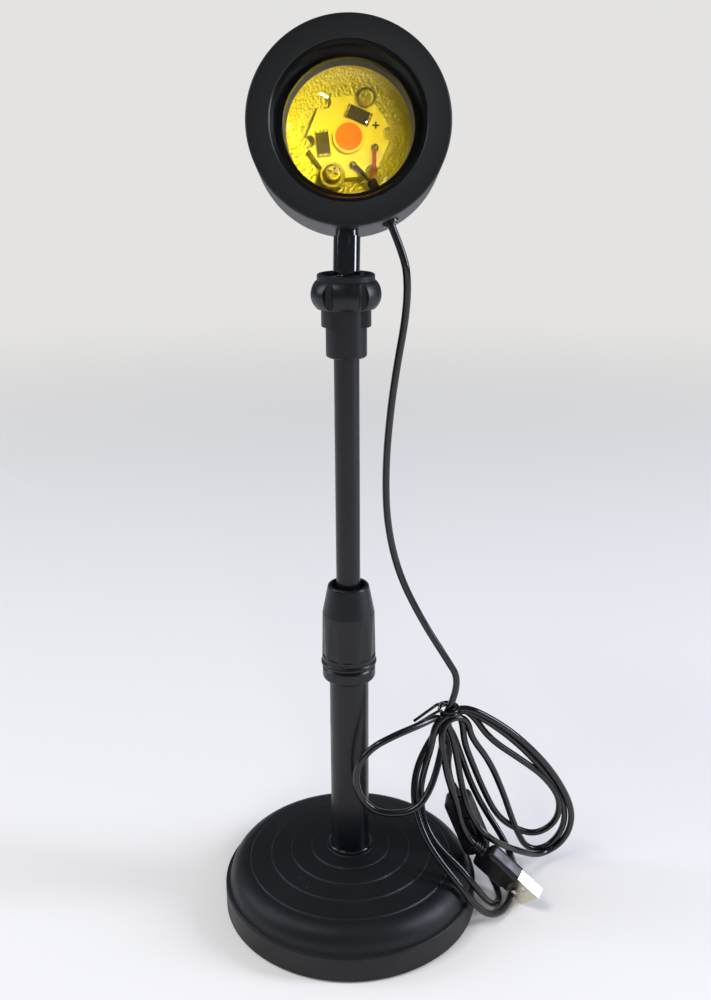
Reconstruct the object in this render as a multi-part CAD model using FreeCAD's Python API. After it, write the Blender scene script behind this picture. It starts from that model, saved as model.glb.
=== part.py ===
import FreeCAD, Part
import math
import os

from FreeCAD import Placement, Rotation
from FreeCAD import Vector as V

os.makedirs("parts", exist_ok=True)

# A desk lamp that throws a coloured disc of light: a round weighted base, a
# two-part telescopic pole with a twist clutch, a ball joint under a lobed lock
# nut, and a short round lamp head with a thick lens and a yellow filter.
# Millimetres. +Z is up and the lamp faces -Y. The origin is the middle of the
# underside of the base.

# ---------------------------------------------------------------- driving sizes

# fits
push_gap = 0.02           # pressed or glued pieces, on the radius
running_gap = 0.08        # pieces that turn or slide in each other
loose_gap = 0.3           # pieces that pass each other

# base
base_r = 51.0
band_top = 10.4
shell_wall = 2.4
skirt_lift = 0.4          # the skirt ends just above the table
crown_z = 25.0
crown_fall = 4.6          # how far the crown has dropped at the outer ring
ring_radii = (40.4, 31.9, 23.7, 15.5)
ring_step = 0.45
pad_thick = 2.0
pad_bore_r = 12.0
weight_top = 11.0
weight_boss_r = 16.0
weight_boss_rise = 2.0

# pole
lower_tube_r = 7.5
lower_tube_wall = 1.2
upper_tube_r = 4.5
upper_tube_wall = 0.8
travel_down = 70.0        # from the place in the photograph
travel_up = 11.0
foot_collar_wide = 1.3
foot_collar_high = 1.4
plug_high = 8.0
bolt_r = 3.0
bolt_head_across = 10.0
bolt_head_high = 4.0
washer_r = 8.0
washer_thick = 1.2

# clutch
flange_z = 101.0
flange_high = 5.3
flange_r = 10.1
clutch_neck_r = 8.3
clutch_neck_top = 122.0
sleeve_gap = 0.3          # between the flange and the sleeve that turns on it
sleeve_top = 139.4
sleeve_bead_r = 10.6
sleeve_bead_high = 2.2
sleeve_low_r = 10.2
sleeve_high_r = 9.85
sleeve_taper_z = 128.0
sleeve_mouth_r = 7.5
sleeve_flats = 10
sleeve_flat_depth = 0.4
collet_high = 12.0
collet_slit = 1.2

# ball joint
socket_foot = 225.4
socket_step = 236.2
socket_top = 242.2
socket_r = 7.2
ear_r = 8.7
ear_turn = 10.0           # degrees, how far the two side ears are turned
cup_rise = 5.4            # the threaded cup above the ears, inside the nut
ball_r = 7.5
ball_z = 247.0
nut_top = 254.0
nut_lobes = 6
nut_lobe_r = 12.3
nut_foot_r = 10.75
nut_disc_r = 10.0
nut_disc_high = 2.2
nut_scallop_r = 1.9
stem_r = 4.6
stem_neck_r = 4.2
stem_collar_r = 4.0
stem_collar_high = 1.9
stem_thread_r = 3.0

# lamp head; depths are counted back from the front face
head_r = 34.0
head_deep = 32.0
head_wall = 2.5
head_off_ball = 21.4      # from the middle of the ball to the casing
stem_from_front = 11.0
head_lean = 12.5          # degrees, as photographed: tipped back
head_side_lean = 1.3      # degrees, as photographed: a little to the right
bezel_thick = 3.5
bezel_skirt_deep = 9.0
bezel_skirt_wall = 3.0
lens_r = 23.4
lens_curve_r = 30.0
lens_thick = 12.0
lens_front = 2.0          # depth of the lens's crown
seal_thick = 0.8
filter_thick = 1.1
filter_front = 18.6
plate_front = 25.0
plate_thick = 3.0
cover_thick = 2.5
board_across = 19.4       # over the flats of the six-sided circuit board
board_thick = 1.6
board_turn = 6.5          # degrees
notch_r = 1.7
notch_at = 10.2
chip_r = 4.0
chip_thick = 0.9
phosphor_r = 3.4
phosphor_drop = 0.1       # how far the glowing face lies below the package's rim
resistor_long = 6.3
resistor_wide = 3.2
resistor_thick = 0.6

# cord, switch and plug
cord_r = 1.35
cord_gap = 0.05
grommet_x = 14.5
grommet_r = 3.0
switch_long = 27.5
switch_wide = 11.0
switch_thick = 8.0
switch_corner = 2.6
button_long = 9.0
button_wide = 6.4
button_proud = 1.0
button_travel = 0.8
usb_wide = 12.0
usb_thick = 4.5
usb_long = 11.6
usb_wall = 0.35
grip_wide = 13.6
grip_thick = 7.0
grip_long = 15.5


# ---------------------------------------------------------------- small helpers

def save(name, shape):
    """Write one sub-part to its own file."""
    shape.exportStep(f"parts/{name}.step")


def turned(outline):
    """A solid of revolution about Z from (radius, height) points. An item that
    holds two points is an arc through the first one to the second."""
    edges = []
    last = V(outline[0][0], 0, outline[0][1])
    for item in outline[1:] + outline[:1]:
        if isinstance(item[0], tuple):
            (mid_r, mid_z), (end_r, end_z) = item
            end = V(end_r, 0, end_z)
            edges.append(Part.Arc(last, V(mid_r, 0, mid_z), end).toShape())
        else:
            end = V(item[0], 0, item[1])
            if end.distanceToPoint(last) > 1e-6:
                edges.append(Part.LineSegment(last, end).toShape())
        last = end
    face = Part.Face(Part.Wire(edges))
    return face.revolve(V(0, 0, 0), V(0, 0, 1), 360)


def ring(inner, outer, low, high):
    """A plain ring about Z."""
    return turned([(inner, low), (outer, low), (outer, high), (inner, high)])


def rod(radius, low, high):
    """A plain round bar about Z."""
    return Part.makeCylinder(radius, high - low, V(0, 0, low))


def hexagon(across, low, high):
    """A six-sided bar about Z, with its size over the flats."""
    corner = across / math.sqrt(3)
    points = [V(corner * math.cos(math.radians(60 * k)), corner * math.sin(math.radians(60 * k)), low)
              for k in range(7)]
    return Part.Face(Part.makePolygon(points)).extrude(V(0, 0, high - low))


def block(wide, deep, high, middle=V(0, 0, 0), corner=0.0):
    """A box about its middle, with its four upright edges rounded."""
    shape = Part.makeBox(wide, deep, high, middle - V(wide / 2, deep / 2, high / 2))
    if corner:
        upright = [e for e in shape.Edges if abs(e.tangentAt(e.FirstParameter).z) > 0.99]
        shape = shape.makeFillet(corner, upright)
    return shape


def turned_about_z(shape, degrees):
    """A copy of a shape, turned about Z."""
    copy = shape.copy()
    copy.rotate(V(0, 0, 0), V(0, 0, 1), degrees)
    return copy


def moved(shape, placement):
    """A copy of a shape in another place."""
    copy = shape.copy()
    copy.Placement = placement.multiply(copy.Placement)
    return copy


def tube_along(name, points, radius):
    """A cord's tube: straight runs joined by arcs as large as the runs allow."""
    edges = []
    radii = []
    start = points[0]
    for before, corner, after in zip(points, points[1:], points[2:]):
        come = (corner - before).normalize()
        go = (after - corner).normalize()
        half_turn = come.getAngle(go) / 2
        cut = 0.45 * min(corner.distanceToPoint(before), corner.distanceToPoint(after))
        bend = cut / math.tan(half_turn)
        inward = (go - come).normalize()
        middle = corner + inward * (bend / math.cos(half_turn) - bend)
        arc_start = corner - come * cut
        arc_end = corner + go * cut
        edges.append(Part.LineSegment(start, arc_start).toShape())
        edges.append(Part.Arc(arc_start, middle, arc_end).toShape())
        radii.append(bend)
        start = arc_end
    edges.append(Part.LineSegment(start, points[-1]).toShape())
    path = Part.Wire(edges)
    section = Part.Wire(Part.makeCircle(radius, points[0], points[1] - points[0]))
    tube = path.makePipeShell([section], True, False)
    ratio = tube.Volume / (math.pi * radius ** 2 * path.Length)
    print(f"{name}: {path.Length:.0f} mm, tightest bend {min(radii):.1f} mm, volume ratio {ratio:.4f}")
    return tube


# ---------------------------------------------------------------- base

def crown(radius):
    """Height of the base's domed top at a radius."""
    return crown_z - crown_fall * (radius / ring_radii[0]) ** 2


skirt_in = base_r - shell_wall
pad_r = base_r - 4.0
shoulder_foot = band_top + 2.2
tube_hole = lower_tube_r + 0.05
tube_seat = weight_top + weight_boss_rise

# The upper tube's foot stops on the plug below; its bead stops under the lip
# at the top of the lower tube.
flare_high = 1.0
bush_high = 5.0
stop_gap = 1.0
upper_tube_foot = tube_seat + plug_high + stop_gap + 1.0 + travel_down
bush_foot = upper_tube_foot + flare_high
bush_top = bush_foot + bush_high
bead_foot = bush_top + 0.05
lower_tube_top = bead_foot + flare_high + travel_up + stop_gap


def base_shell():
    """The moulded cover: an upright band, a groove, a shoulder and a crown of stepped rings."""
    outline = [
        (skirt_in, skirt_lift),
        (base_r - 0.5, skirt_lift),
        (base_r, skirt_lift + 0.6),
        (base_r, band_top),
        ((base_r - 0.25, band_top + 0.65), (base_r - 0.9, band_top + 0.9)),
        (base_r - 1.7, band_top + 1.2),
        (base_r - 2.0, shoulder_foot),
        ((base_r - 4.2, shoulder_foot + 4.6), (ring_radii[0] + 2.4, crown(ring_radii[0]) - 0.8)),
    ]
    for radius in ring_radii:
        outline.append((radius + 0.5, crown(radius) - ring_step))
        outline.append((radius, crown(radius)))
    collar_seat = lower_tube_r + foot_collar_wide + 0.5
    outline += [
        (collar_seat + 0.3, crown(collar_seat)),
        (collar_seat, crown_z),
        (tube_hole, crown_z),
        (tube_hole, crown_z - shell_wall),
        (ring_radii[1], crown(ring_radii[1]) - shell_wall - ring_step),
        (skirt_in - 4.5, crown(ring_radii[0]) - shell_wall - 2.2),
        (skirt_in - 2.1, weight_top + 2.5),
        (skirt_in - 2.1, weight_top),
        (skirt_in, weight_top),
    ]
    return turned(outline)


def base_weight():
    """The cast disc that keeps the lamp upright; the pole stands on its boss."""
    recess_r = washer_r + 1.0
    recess_top = pad_thick + washer_thick + bolt_head_high - 0.2
    return turned([
        (bolt_r + loose_gap, recess_top),
        (recess_r, recess_top),
        (recess_r, pad_thick),
        (skirt_in - loose_gap, pad_thick),
        (skirt_in - loose_gap, weight_top),
        (weight_boss_r, weight_top),
        (weight_boss_r - 1.0, tube_seat),
        (bolt_r + loose_gap, tube_seat),
    ]), recess_top


weight, recess_top = base_weight()
save("base_shell", base_shell())
save("base_weight", weight)
save("base_pad", ring(pad_bore_r, pad_r, 0, pad_thick))

washer_foot = recess_top - washer_thick
save("base_washer", ring(bolt_r + loose_gap, washer_r, washer_foot, recess_top))
bolt_tip = tube_seat + plug_high - 1.0
bolt = hexagon(bolt_head_across, washer_foot - bolt_head_high, washer_foot)
save("base_bolt", bolt.fuse(rod(bolt_r, washer_foot - 0.5, bolt_tip)).removeSplitter())

# ---------------------------------------------------------------- lower pole

tube_bore = lower_tube_r - lower_tube_wall
save("tube_end_plug", ring(bolt_r + push_gap, tube_bore - push_gap, tube_seat, tube_seat + plug_high))
save("lower_tube", ring(tube_bore, lower_tube_r, tube_seat, lower_tube_top))

collar_out = lower_tube_r + foot_collar_wide
save("tube_foot_collar", turned([
    (tube_hole, crown_z),
    (collar_out, crown_z),
    (collar_out, crown_z + 0.6),
    ((collar_out - 0.25, crown_z + 1.15), (collar_out - 0.8, crown_z + foot_collar_high)),
    (tube_hole, crown_z + foot_collar_high),
]))

# ---------------------------------------------------------------- twist clutch

flange_top = flange_z + flange_high
lip_r = upper_tube_r + 0.7
lip_thick = 1.5
collet_foot = lower_tube_top + lip_thick + 0.1
collet_shoulder = clutch_neck_top + loose_gap
collet_top = collet_shoulder + collet_high
collet_wide_r = sleeve_high_r - 2.35
collet_slim_r = collet_wide_r - 1.5

clutch_body = turned([
    (lower_tube_r + push_gap, flange_z),
    (flange_r - 1.4, flange_z),
    ((flange_r - 0.4, flange_z + 0.4), (flange_r, flange_z + 1.4)),
    (flange_r, flange_top - 0.7),
    (flange_r - 0.5, flange_top),
    (clutch_neck_r, flange_top),
    (clutch_neck_r, clutch_neck_top),
    (upper_tube_r + 1.8, clutch_neck_top),
    (upper_tube_r + 1.8, lower_tube_top + lip_thick),
    (lip_r, lower_tube_top + lip_thick),
    (lip_r, lower_tube_top),
    (lower_tube_r + push_gap, lower_tube_top),
])
save("clutch_body", clutch_body)

collet = turned([
    (upper_tube_r + running_gap, collet_foot),
    (upper_tube_r + 1.7, collet_foot),
    (upper_tube_r + 1.7, collet_shoulder),
    (collet_wide_r, collet_shoulder),
    (collet_slim_r, collet_top),
    (upper_tube_r + running_gap, collet_top),
])
slit = Part.makeBox(20, collet_slit, 40, V(0, -collet_slit / 2, collet_foot - 1))
save("clutch_collet", collet.cut(slit))


def clutch_sleeve():
    """The twist sleeve: a bead at its foot, flat grips round its body, a taper to an open mouth."""
    foot = flange_top + sleeve_gap
    bead_top = foot + sleeve_bead_high
    cone_gap = 0.35
    body = turned([
        (clutch_neck_r + loose_gap, foot),
        (sleeve_bead_r - 0.8, foot),
        ((sleeve_bead_r, foot + sleeve_bead_high / 2), (sleeve_bead_r - 0.6, bead_top)),
        (sleeve_low_r, bead_top + 0.3),
        (sleeve_high_r, sleeve_taper_z),
        (sleeve_mouth_r + 0.3, sleeve_top - 0.9),
        ((sleeve_mouth_r - 0.2, sleeve_top - 0.15), (sleeve_mouth_r - 0.8, sleeve_top)),
        (sleeve_mouth_r - 1.2, sleeve_top - 0.4),
        (sleeve_mouth_r - 1.8, collet_top + 1.5),
        (upper_tube_r + 0.8, collet_top + 1.5),
        (upper_tube_r + 0.8, collet_top + 0.5),
        (collet_slim_r + cone_gap, collet_top + 0.5),
        (collet_wide_r + cone_gap, collet_shoulder + 0.3),
        (clutch_neck_r + loose_gap, collet_shoulder + 0.3),
    ])
    for k in range(sleeve_flats):
        cut = Part.makeBox(6, 30, sleeve_taper_z - bead_top - 4,
                           V(sleeve_low_r - sleeve_flat_depth, -15, bead_top + 2))
        body = body.cut(turned_about_z(cut, 360 / sleeve_flats * (k + 0.5)))
    return body


save("clutch_sleeve", clutch_sleeve())

# ---------------------------------------------------------------- upper pole

# The bush slides in the lower tube. The upper tube turns in the bush, which is
# held between the tube's flared foot and a rolled bead.
save("slide_bush", ring(upper_tube_r + running_gap, tube_bore - running_gap, bush_foot + 0.05, bush_top))

socket_bore_top = socket_foot + 8.6
tube_in = upper_tube_r - upper_tube_wall
upper_tube = ring(tube_in, upper_tube_r, upper_tube_foot, socket_bore_top)
flare = ring(tube_in, upper_tube_r + 1.0, upper_tube_foot, bush_foot)
bead = ring(tube_in, upper_tube_r + 0.9, bead_foot, bead_foot + flare_high)
save("upper_tube", upper_tube.fuse([flare, bead]).removeSplitter())

# ---------------------------------------------------------------- ball joint

ball = V(0, 0, ball_z)
cup_r = ball_r + running_gap
cup_top = socket_top + cup_rise
pad_foot = socket_step + 0.3
pad_bore = 4.6


def ball_socket():
    """The socket on the pole: a sleeve for the tube, two side ears and a cup for the ball."""
    outer = turned([
        (0, socket_foot),
        (socket_r - 0.5, socket_foot),
        (socket_r, socket_foot + 0.5),
        (socket_r, socket_top),
        (ear_r, socket_top),
        (ear_r, cup_top),
        (0, cup_top),
    ])
    ears = rod(ear_r, socket_step, socket_top)
    ears = ears.common(block(40, 2 * socket_r - 2.4, 20, V(0, 0, (socket_step + socket_top) / 2)))
    shape = outer.fuse(turned_about_z(ears, ear_turn))
    shape = shape.cut(rod(upper_tube_r + push_gap, socket_foot - 1, socket_bore_top))
    shape = shape.cut(rod(pad_bore, pad_foot, ball_z - 4))
    shape = shape.cut(Part.makeSphere(cup_r, ball))
    return shape.cut(rod(cup_r, ball_z, cup_top + 1)).removeSplitter()


def lock_nut():
    """The lobed nut that squeezes the ball: barrel-shaped lobes under a plain disc."""
    foot = socket_top + 0.15
    lobe_mid = (foot + nut_top - nut_disc_high) / 2
    lobes = turned([
        (0, foot),
        (nut_foot_r - 0.5, foot),
        (nut_foot_r, foot + 0.6),
        ((nut_lobe_r, lobe_mid), (nut_disc_r + 0.2, nut_top - nut_disc_high)),
        (0, nut_top - nut_disc_high),
    ])
    for k in range(nut_lobes):
        angle = math.radians(360 / nut_lobes * (k + 0.5) - 90)
        at = V(nut_lobe_r * math.cos(angle), nut_lobe_r * math.sin(angle), foot - 1)
        lobes = lobes.cut(Part.makeCylinder(nut_scallop_r, nut_top - nut_disc_high - foot + 1, at))
    disc = turned([
        (0, nut_top - nut_disc_high - 0.5),
        (nut_disc_r, nut_top - nut_disc_high - 0.5),
        (nut_disc_r, nut_top - 0.4),
        (nut_disc_r - 0.4, nut_top),
        (0, nut_top),
    ])
    thread_top = cup_top + 0.5
    seat_rise = 3.5
    seat_r = math.sqrt(cup_r ** 2 - seat_rise ** 2)
    seat_foot_r = math.sqrt(cup_r ** 2 - (thread_top - ball_z) ** 2)
    seat_bulge = (thread_top - ball_z + seat_rise) / 2
    inside = turned([
        (0, foot - 1),
        (ear_r + running_gap, foot - 1),
        (ear_r + running_gap, thread_top),
        (seat_foot_r, thread_top),
        ((math.sqrt(cup_r ** 2 - seat_bulge ** 2), ball_z + seat_bulge), (seat_r, ball_z + seat_rise)),
        (nut_disc_r - 0.7, nut_top),
        (nut_disc_r - 0.7, nut_top + 1),
        (0, nut_top + 1),
    ])
    return lobes.fuse(disc).cut(inside).removeSplitter()


save("ball_socket", ball_socket())
friction_pad = rod(pad_bore - 0.1, pad_foot, ball_z - 5.0).cut(Part.makeSphere(cup_r, ball))
save("ball_pad", friction_pad)
save("lock_nut", lock_nut())

# ---------------------------------------------------------------- head frame

# The head and its stem are drawn upright about the ball and then leaned as
# photographed. In the head's own frame a piece is turned about its axis with
# its depth along +Z; "at" gives a place in it by right, up and depth.
head_rise = head_r + head_off_ball
lean = Placement(V(0, 0, 0), Rotation(V(0, 1, 0), head_side_lean))
lean = lean.multiply(Placement(V(0, 0, 0), Rotation(V(1, 0, 0), -head_lean)))
stem_frame = Placement(ball, Rotation()).multiply(lean)
head_frame = stem_frame.multiply(Placement(V(0, -stem_from_front, head_rise), Rotation(V(1, 0, 0), -90)))


def at(right, up, depth):
    """A place in the head's own frame."""
    return V(right, -up, depth)


def save_in_head(name, shape):
    """Write one of the head's pieces in its leaned place."""
    save(name, moved(shape, head_frame))


# ---------------------------------------------------------------- stem

shell_in = head_r - head_wall
stem_length = head_off_ball - stem_collar_high - 0.1
nut_seat = head_rise - shell_in + 1.4
thread_tip = nut_seat + 3.6

stud = Part.makeSphere(ball_r).fuse([
    rod(stem_neck_r, 0, 5.0),
    Part.makeCone(stem_neck_r, stem_r, 2.5, V(0, 0, 5.0)),
    rod(stem_r, 7.5, stem_length),
    rod(stem_thread_r, stem_length, thread_tip),
])
save("ball_stud", moved(stud.removeSplitter(), stem_frame))
stem_collar = ring(stem_thread_r + push_gap, stem_collar_r, stem_length, stem_length + stem_collar_high)
save("stem_collar", moved(stem_collar, stem_frame))
stem_nut = hexagon(bolt_head_across, nut_seat + 0.05, nut_seat + 3.2)
stem_nut = stem_nut.cut(rod(stem_thread_r + push_gap, nut_seat - 1, nut_seat + 5))
save("stem_nut", moved(stem_nut, stem_frame))

# ---------------------------------------------------------------- head casing

opening_r = lens_r + 2.6
lens_view_r = lens_r - 1.2
filter_r = lens_r - 4.2
filter_view_r = filter_r - 0.9
lens_sag = lens_curve_r - math.sqrt(lens_curve_r ** 2 - lens_r ** 2)
lens_rim_front = lens_front + lens_sag
lens_back = lens_front + lens_thick
lens_view_sag = lens_curve_r - math.sqrt(lens_curve_r ** 2 - lens_view_r ** 2)
lens_lip = lens_front + lens_view_sag - 0.13
holder_out = lens_view_r + bezel_skirt_wall + 0.9
barrel_front = bezel_thick
ledge_r = shell_in - 2.0
grommet_up = -math.sqrt(head_r ** 2 - grommet_x ** 2)
radial = at(grommet_x, grommet_up, 0).normalize()
lead_face = radial * (shell_in - 2.4) + V(0, 0, stem_from_front)


def stem_bore(radius, low, high):
    """A round bar on the stem's axis, given in the head's own frame."""
    return moved(rod(radius, low, high), head_frame.inverse().multiply(stem_frame))


def grommet_bar(radius, low, high):
    """A round bar on the grommet's axis, from one distance off the head's axis to another."""
    return Part.makeCylinder(radius, high - low, radial * low + V(0, 0, stem_from_front), radial)


def barrel():
    """The round casing, with a ledge for the heat plate and a boss for the stem's nut."""
    tube = turned([
        (shell_in, barrel_front),
        (head_r - 0.3, barrel_front),
        (head_r, barrel_front + 0.3),
        (head_r, head_deep - 0.8),
        (head_r - 0.8, head_deep),
        (shell_in, head_deep),
        (shell_in, plate_front),
        (ledge_r, plate_front),
        (ledge_r, plate_front - 1.5),
        (shell_in, plate_front - 1.5),
    ])
    boss = stem_bore(5.6, head_rise - head_r + 1.0, nut_seat)
    tube = tube.fuse(boss)
    tube = tube.cut(stem_bore(stem_thread_r + running_gap, 0, nut_seat + 1))
    return tube.cut(grommet_bar(grommet_r - 0.8, shell_in - 3, head_r + 2)).removeSplitter()


def bezel():
    """The flat front ring, with a stepped black funnel down to the lens."""
    return turned([
        (opening_r, 0.4),
        (opening_r + 0.4, 0),
        (head_r - 0.5, 0),
        (head_r, 0.5),
        (head_r, bezel_thick),
        (shell_in - 0.1, bezel_thick),
        (shell_in - 0.1, bezel_thick + 1.8),
        (shell_in - 2.2, bezel_thick + 1.8),
        (shell_in - 2.2, bezel_thick),
        (holder_out, bezel_thick),
        (holder_out, bezel_skirt_deep),
        (lens_r - 0.1, bezel_skirt_deep),
        (lens_r - 0.4, lens_lip),
        (lens_view_r, lens_lip),
        (lens_view_r, bezel_skirt_deep - 0.9),
        (lens_view_r + 1.2, bezel_skirt_deep - 2.4),
        (opening_r - 1.2, 3.2),
        (opening_r - 1.2, 2.0),
        (opening_r, 1.6),
    ])


save_in_head("barrel", barrel())
save_in_head("bezel_ring", bezel())

# ---------------------------------------------------------------- lens and filter

sag_middle = lens_curve_r - math.sqrt(lens_curve_r ** 2 - (lens_r / 2) ** 2)
save_in_head("lens", turned([
    (0, lens_front),
    ((lens_r / 2, lens_front + sag_middle), (lens_r, lens_rim_front)),
    (lens_r, lens_back),
    (0, lens_back),
]))
save_in_head("lens_seal", ring(lens_view_r, lens_r, lens_back, lens_back + seal_thick))

holder_bore = lens_r + 0.1
pocket_r = filter_r + 0.1
filter_back = filter_front + filter_thick
wire_exit = at(6.3, -11.3, 22.6)
wire_route = [
    wire_exit,
    at(10.5, -18.8, 22.4),
    radial * (holder_out + 0.7) + V(0, 0, stem_from_front),
    lead_face,
]
wire_tube = tube_along("wire_sleeve", wire_route, cord_r)
wire_hole = tube_along("wire_hole", wire_route, cord_r + 0.4)

filter_holder = turned([
    (holder_bore, bezel_skirt_deep),
    (holder_out, bezel_skirt_deep),
    (holder_out, plate_front),
    (pocket_r, plate_front),
    (pocket_r, filter_front),
    (filter_view_r, filter_front),
    (filter_view_r, filter_front - 0.5),
    (lens_view_r, lens_back + seal_thick),
    (holder_bore, lens_back + seal_thick),
])
save_in_head("filter_holder", filter_holder.cut(wire_hole))
save_in_head("colour_filter", rod(filter_r, filter_front, filter_back))
clip = ring(filter_view_r - 0.2, pocket_r - 0.02, filter_back, filter_back + 0.8)
clip_gap = Part.makeBox(5, 30, 4, at(-2.5, 0, filter_back - 1) - V(0, 30, 0))
save_in_head("filter_clip", clip.cut(clip_gap))

# ---------------------------------------------------------------- light source

board_front = plate_front - board_thick
chip_front = board_front - chip_thick
screw_angles = (board_turn + 60, board_turn + 240)
screw_head_r = 2.5
screw_head_high = 1.6
board_screw_long = board_thick + plate_thick - 0.6


def on_circle(radius, degrees, depth):
    """A place at an angle about the head's axis, counted from the right."""
    angle = math.radians(degrees)
    return at(radius * math.cos(angle), radius * math.sin(angle), depth)


def led_board():
    """The six-sided aluminium circuit board, notched at its corners for screws and wires."""
    corner = board_across / math.sqrt(3)
    points = [on_circle(corner, board_turn + 60 * k, board_front) for k in range(7)]
    board = Part.Face(Part.makePolygon(points)).extrude(V(0, 0, board_thick))
    for k in range(6):
        notch = Part.makeCylinder(notch_r, 4, on_circle(notch_at, board_turn + 60 * k, board_front - 1))
        board = board.cut(notch)
    return board


def pan_screw(middle, thread_r, head_radius, head_high, length):
    """A pan-head screw with a cross recess; its head stands in front of the middle given."""
    head = Part.makeCylinder(head_radius, head_high, middle - V(0, 0, head_high))
    rim = [e for e in head.Edges if abs(e.BoundBox.ZMax - (middle.z - head_high)) < 1e-6]
    head = head.makeFillet(0.6 * head_high, rim)
    shank = Part.makeCylinder(thread_r, length, middle)
    shape = head.fuse(shank).removeSplitter()
    for turn in (0, 90):
        slot = block(head_radius * 1.1, 0.5, 0.9, V(0, 0, 0))
        slot = turned_about_z(slot, turn + 25)
        slot.translate(middle - V(0, 0, head_high - 0.3))
        shape = shape.cut(slot)
    return shape


heat_plate = rod(shell_in - 0.15, plate_front, plate_front + plate_thick)
for degrees in screw_angles:
    hole = Part.makeCylinder(1.5 + push_gap, plate_thick + 2, on_circle(notch_at, degrees, plate_front - 1))
    heat_plate = heat_plate.cut(hole)
save_in_head("led_board", led_board())
save_in_head("board_screws", Part.Compound([
    pan_screw(on_circle(notch_at, degrees, board_front), 1.5, screw_head_r, screw_head_high, board_screw_long)
    for degrees in screw_angles
]))
save_in_head("led_package", ring(phosphor_r, chip_r, chip_front, board_front))
save_in_head("led_phosphor", rod(phosphor_r - push_gap, chip_front + phosphor_drop, board_front))


def resistor(right, up, turn):
    """A chip resistor that lies flat on the board."""
    shape = block(resistor_wide, resistor_long, resistor_thick)
    place = at(right, up, board_front - resistor_thick / 2)
    return moved(turned_about_z(shape, turn), Placement(place, Rotation()))


save_in_head("chip_resistors", Part.Compound([resistor(-6.4, -1.6, -7), resistor(2.34, 5.25, -68)]))

pad_places = [(6.6, -2.4), (1.2, -6.8)]
solder = [Part.makeSphere(1.1, at(right, up, board_front)).cut(
    Part.makeBox(4, 4, 4, at(right, up, board_front) - V(2, 2, 0))) for right, up in pad_places]
save_in_head("solder_joints", Part.Compound(solder))


def wire(name, start, middle, drop):
    """A thin insulated wire from a solder joint, over the board, into the sleeve's mouth."""
    end = wire_exit - V(0, 0, drop)
    return tube_along(name, [start, middle, end], 0.5).cut(wire_tube)


red_start = at(6.6, -3.2, board_front - 1.0)
black_start = at(1.9, -7.3, board_front - 1.0)
save_in_head("wire_red", wire("wire_red", red_start, at(6.9, -7.0, board_front - 1.5), 0.7))
save_in_head("wire_black", wire("wire_black", black_start, at(4.4, -9.8, board_front - 1.3), -0.7))
save_in_head("wire_sleeve", wire_tube)

# ---------------------------------------------------------------- back of the head

cover_front = head_deep - cover_thick
cover_r = shell_in - 0.1
cover_screw_at = shell_in - 5.0
cover_screw_r = 1.5
cover_screw_long = head_deep - plate_front - 0.5
cover_head_r = 2.7
vent_count = 8
vent_in = 9.0
vent_out = 20.0
vent_wide = 2.4

cover = rod(cover_r, cover_front, head_deep)
cover_rim = ring(cover_r - 2.4, cover_r, plate_front + plate_thick, cover_front + 0.1)
cover = cover.fuse(cover_rim).removeSplitter()
for k in range(vent_count):
    middle = at((vent_in + vent_out) / 2, 0, head_deep - cover_thick / 2)
    vent = block(vent_out - vent_in, vent_wide, cover_thick + 2, middle, vent_wide / 2 - 0.01)
    cover = cover.cut(turned_about_z(vent, 360 / vent_count * (k + 0.5)))
cover_screws = []
for k in range(3):
    place = on_circle(cover_screw_at, 90 + 120 * k, head_deep)
    bore_foot = place - V(0, 0, cover_screw_long + 1.0)
    bore = Part.makeCylinder(cover_screw_r + push_gap, cover_screw_long + 1.5, bore_foot)
    cover = cover.cut(bore)
    heat_plate = heat_plate.cut(bore)
    screw = pan_screw(V(0, 0, 0), cover_screw_r, cover_head_r, screw_head_high, cover_screw_long)
    screw.rotate(V(0, 0, 0), V(1, 0, 0), 180)
    screw.translate(place)
    cover_screws.append(screw)
save_in_head("heat_plate", heat_plate)
save_in_head("rear_cover", cover)
save_in_head("rear_screws", Part.Compound(cover_screws))

# ---------------------------------------------------------------- cord grommet

grommet = grommet_bar(grommet_r - 0.85, shell_in - 1.2, head_r + 1.6)
grommet = grommet.fuse(grommet_bar(grommet_r, head_r + 0.1, head_r + 1.0))
grommet = grommet.fuse(grommet_bar(grommet_r - 0.2, shell_in - 1.6, shell_in - 0.4))
grommet = grommet.cut(grommet_bar(cord_r + cord_gap, shell_in - 4, head_r + 4)).removeSplitter()
save_in_head("cord_grommet", grommet)

# ---------------------------------------------------------------- tied bunch

# The cord's spare length is a loose bunch of loops, tied where the hanging
# lead reaches it. The loops stand on the table and lean on each other.
bunch_middle = V(38.1, 4.8, 77.5)
bunch_r = 4.6
bunch_high = 16.0
bunch_lean = 8.0
tie_thick = 0.7
tie_wide = 2.6
tie_rise = 5.9            # the tie sits near the top of the bunch
tail_r = 0.55

bunch = turned([
    (0, -bunch_high / 2),
    (bunch_r - 1.2, -bunch_high / 2),
    (bunch_r, -bunch_high / 2 + 1.5),
    (bunch_r, bunch_high / 2),
    (0, bunch_high / 2),
])
bunch_place = Placement(bunch_middle, Rotation(V(0, 1, 0), bunch_lean))
bunch = moved(bunch, bunch_place)
save("cord_bunch", bunch)

band = ring(bunch_r, bunch_r + tie_thick, tie_rise - tie_wide / 2, tie_rise + tie_wide / 2)
tail_route = [V(-2.0, -4.6, tie_rise), V(-5.0, -5.4, tie_rise + 2.6), V(-12.6, -3.8, -1.6)]
tail = tube_along("tie_tail", tail_route, tail_r)
save("cable_tie", moved(band.fuse(tail.cut(rod(bunch_r, -10, 10))).removeSplitter(), bunch_place))

# ---------------------------------------------------------------- hanging lead

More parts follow.
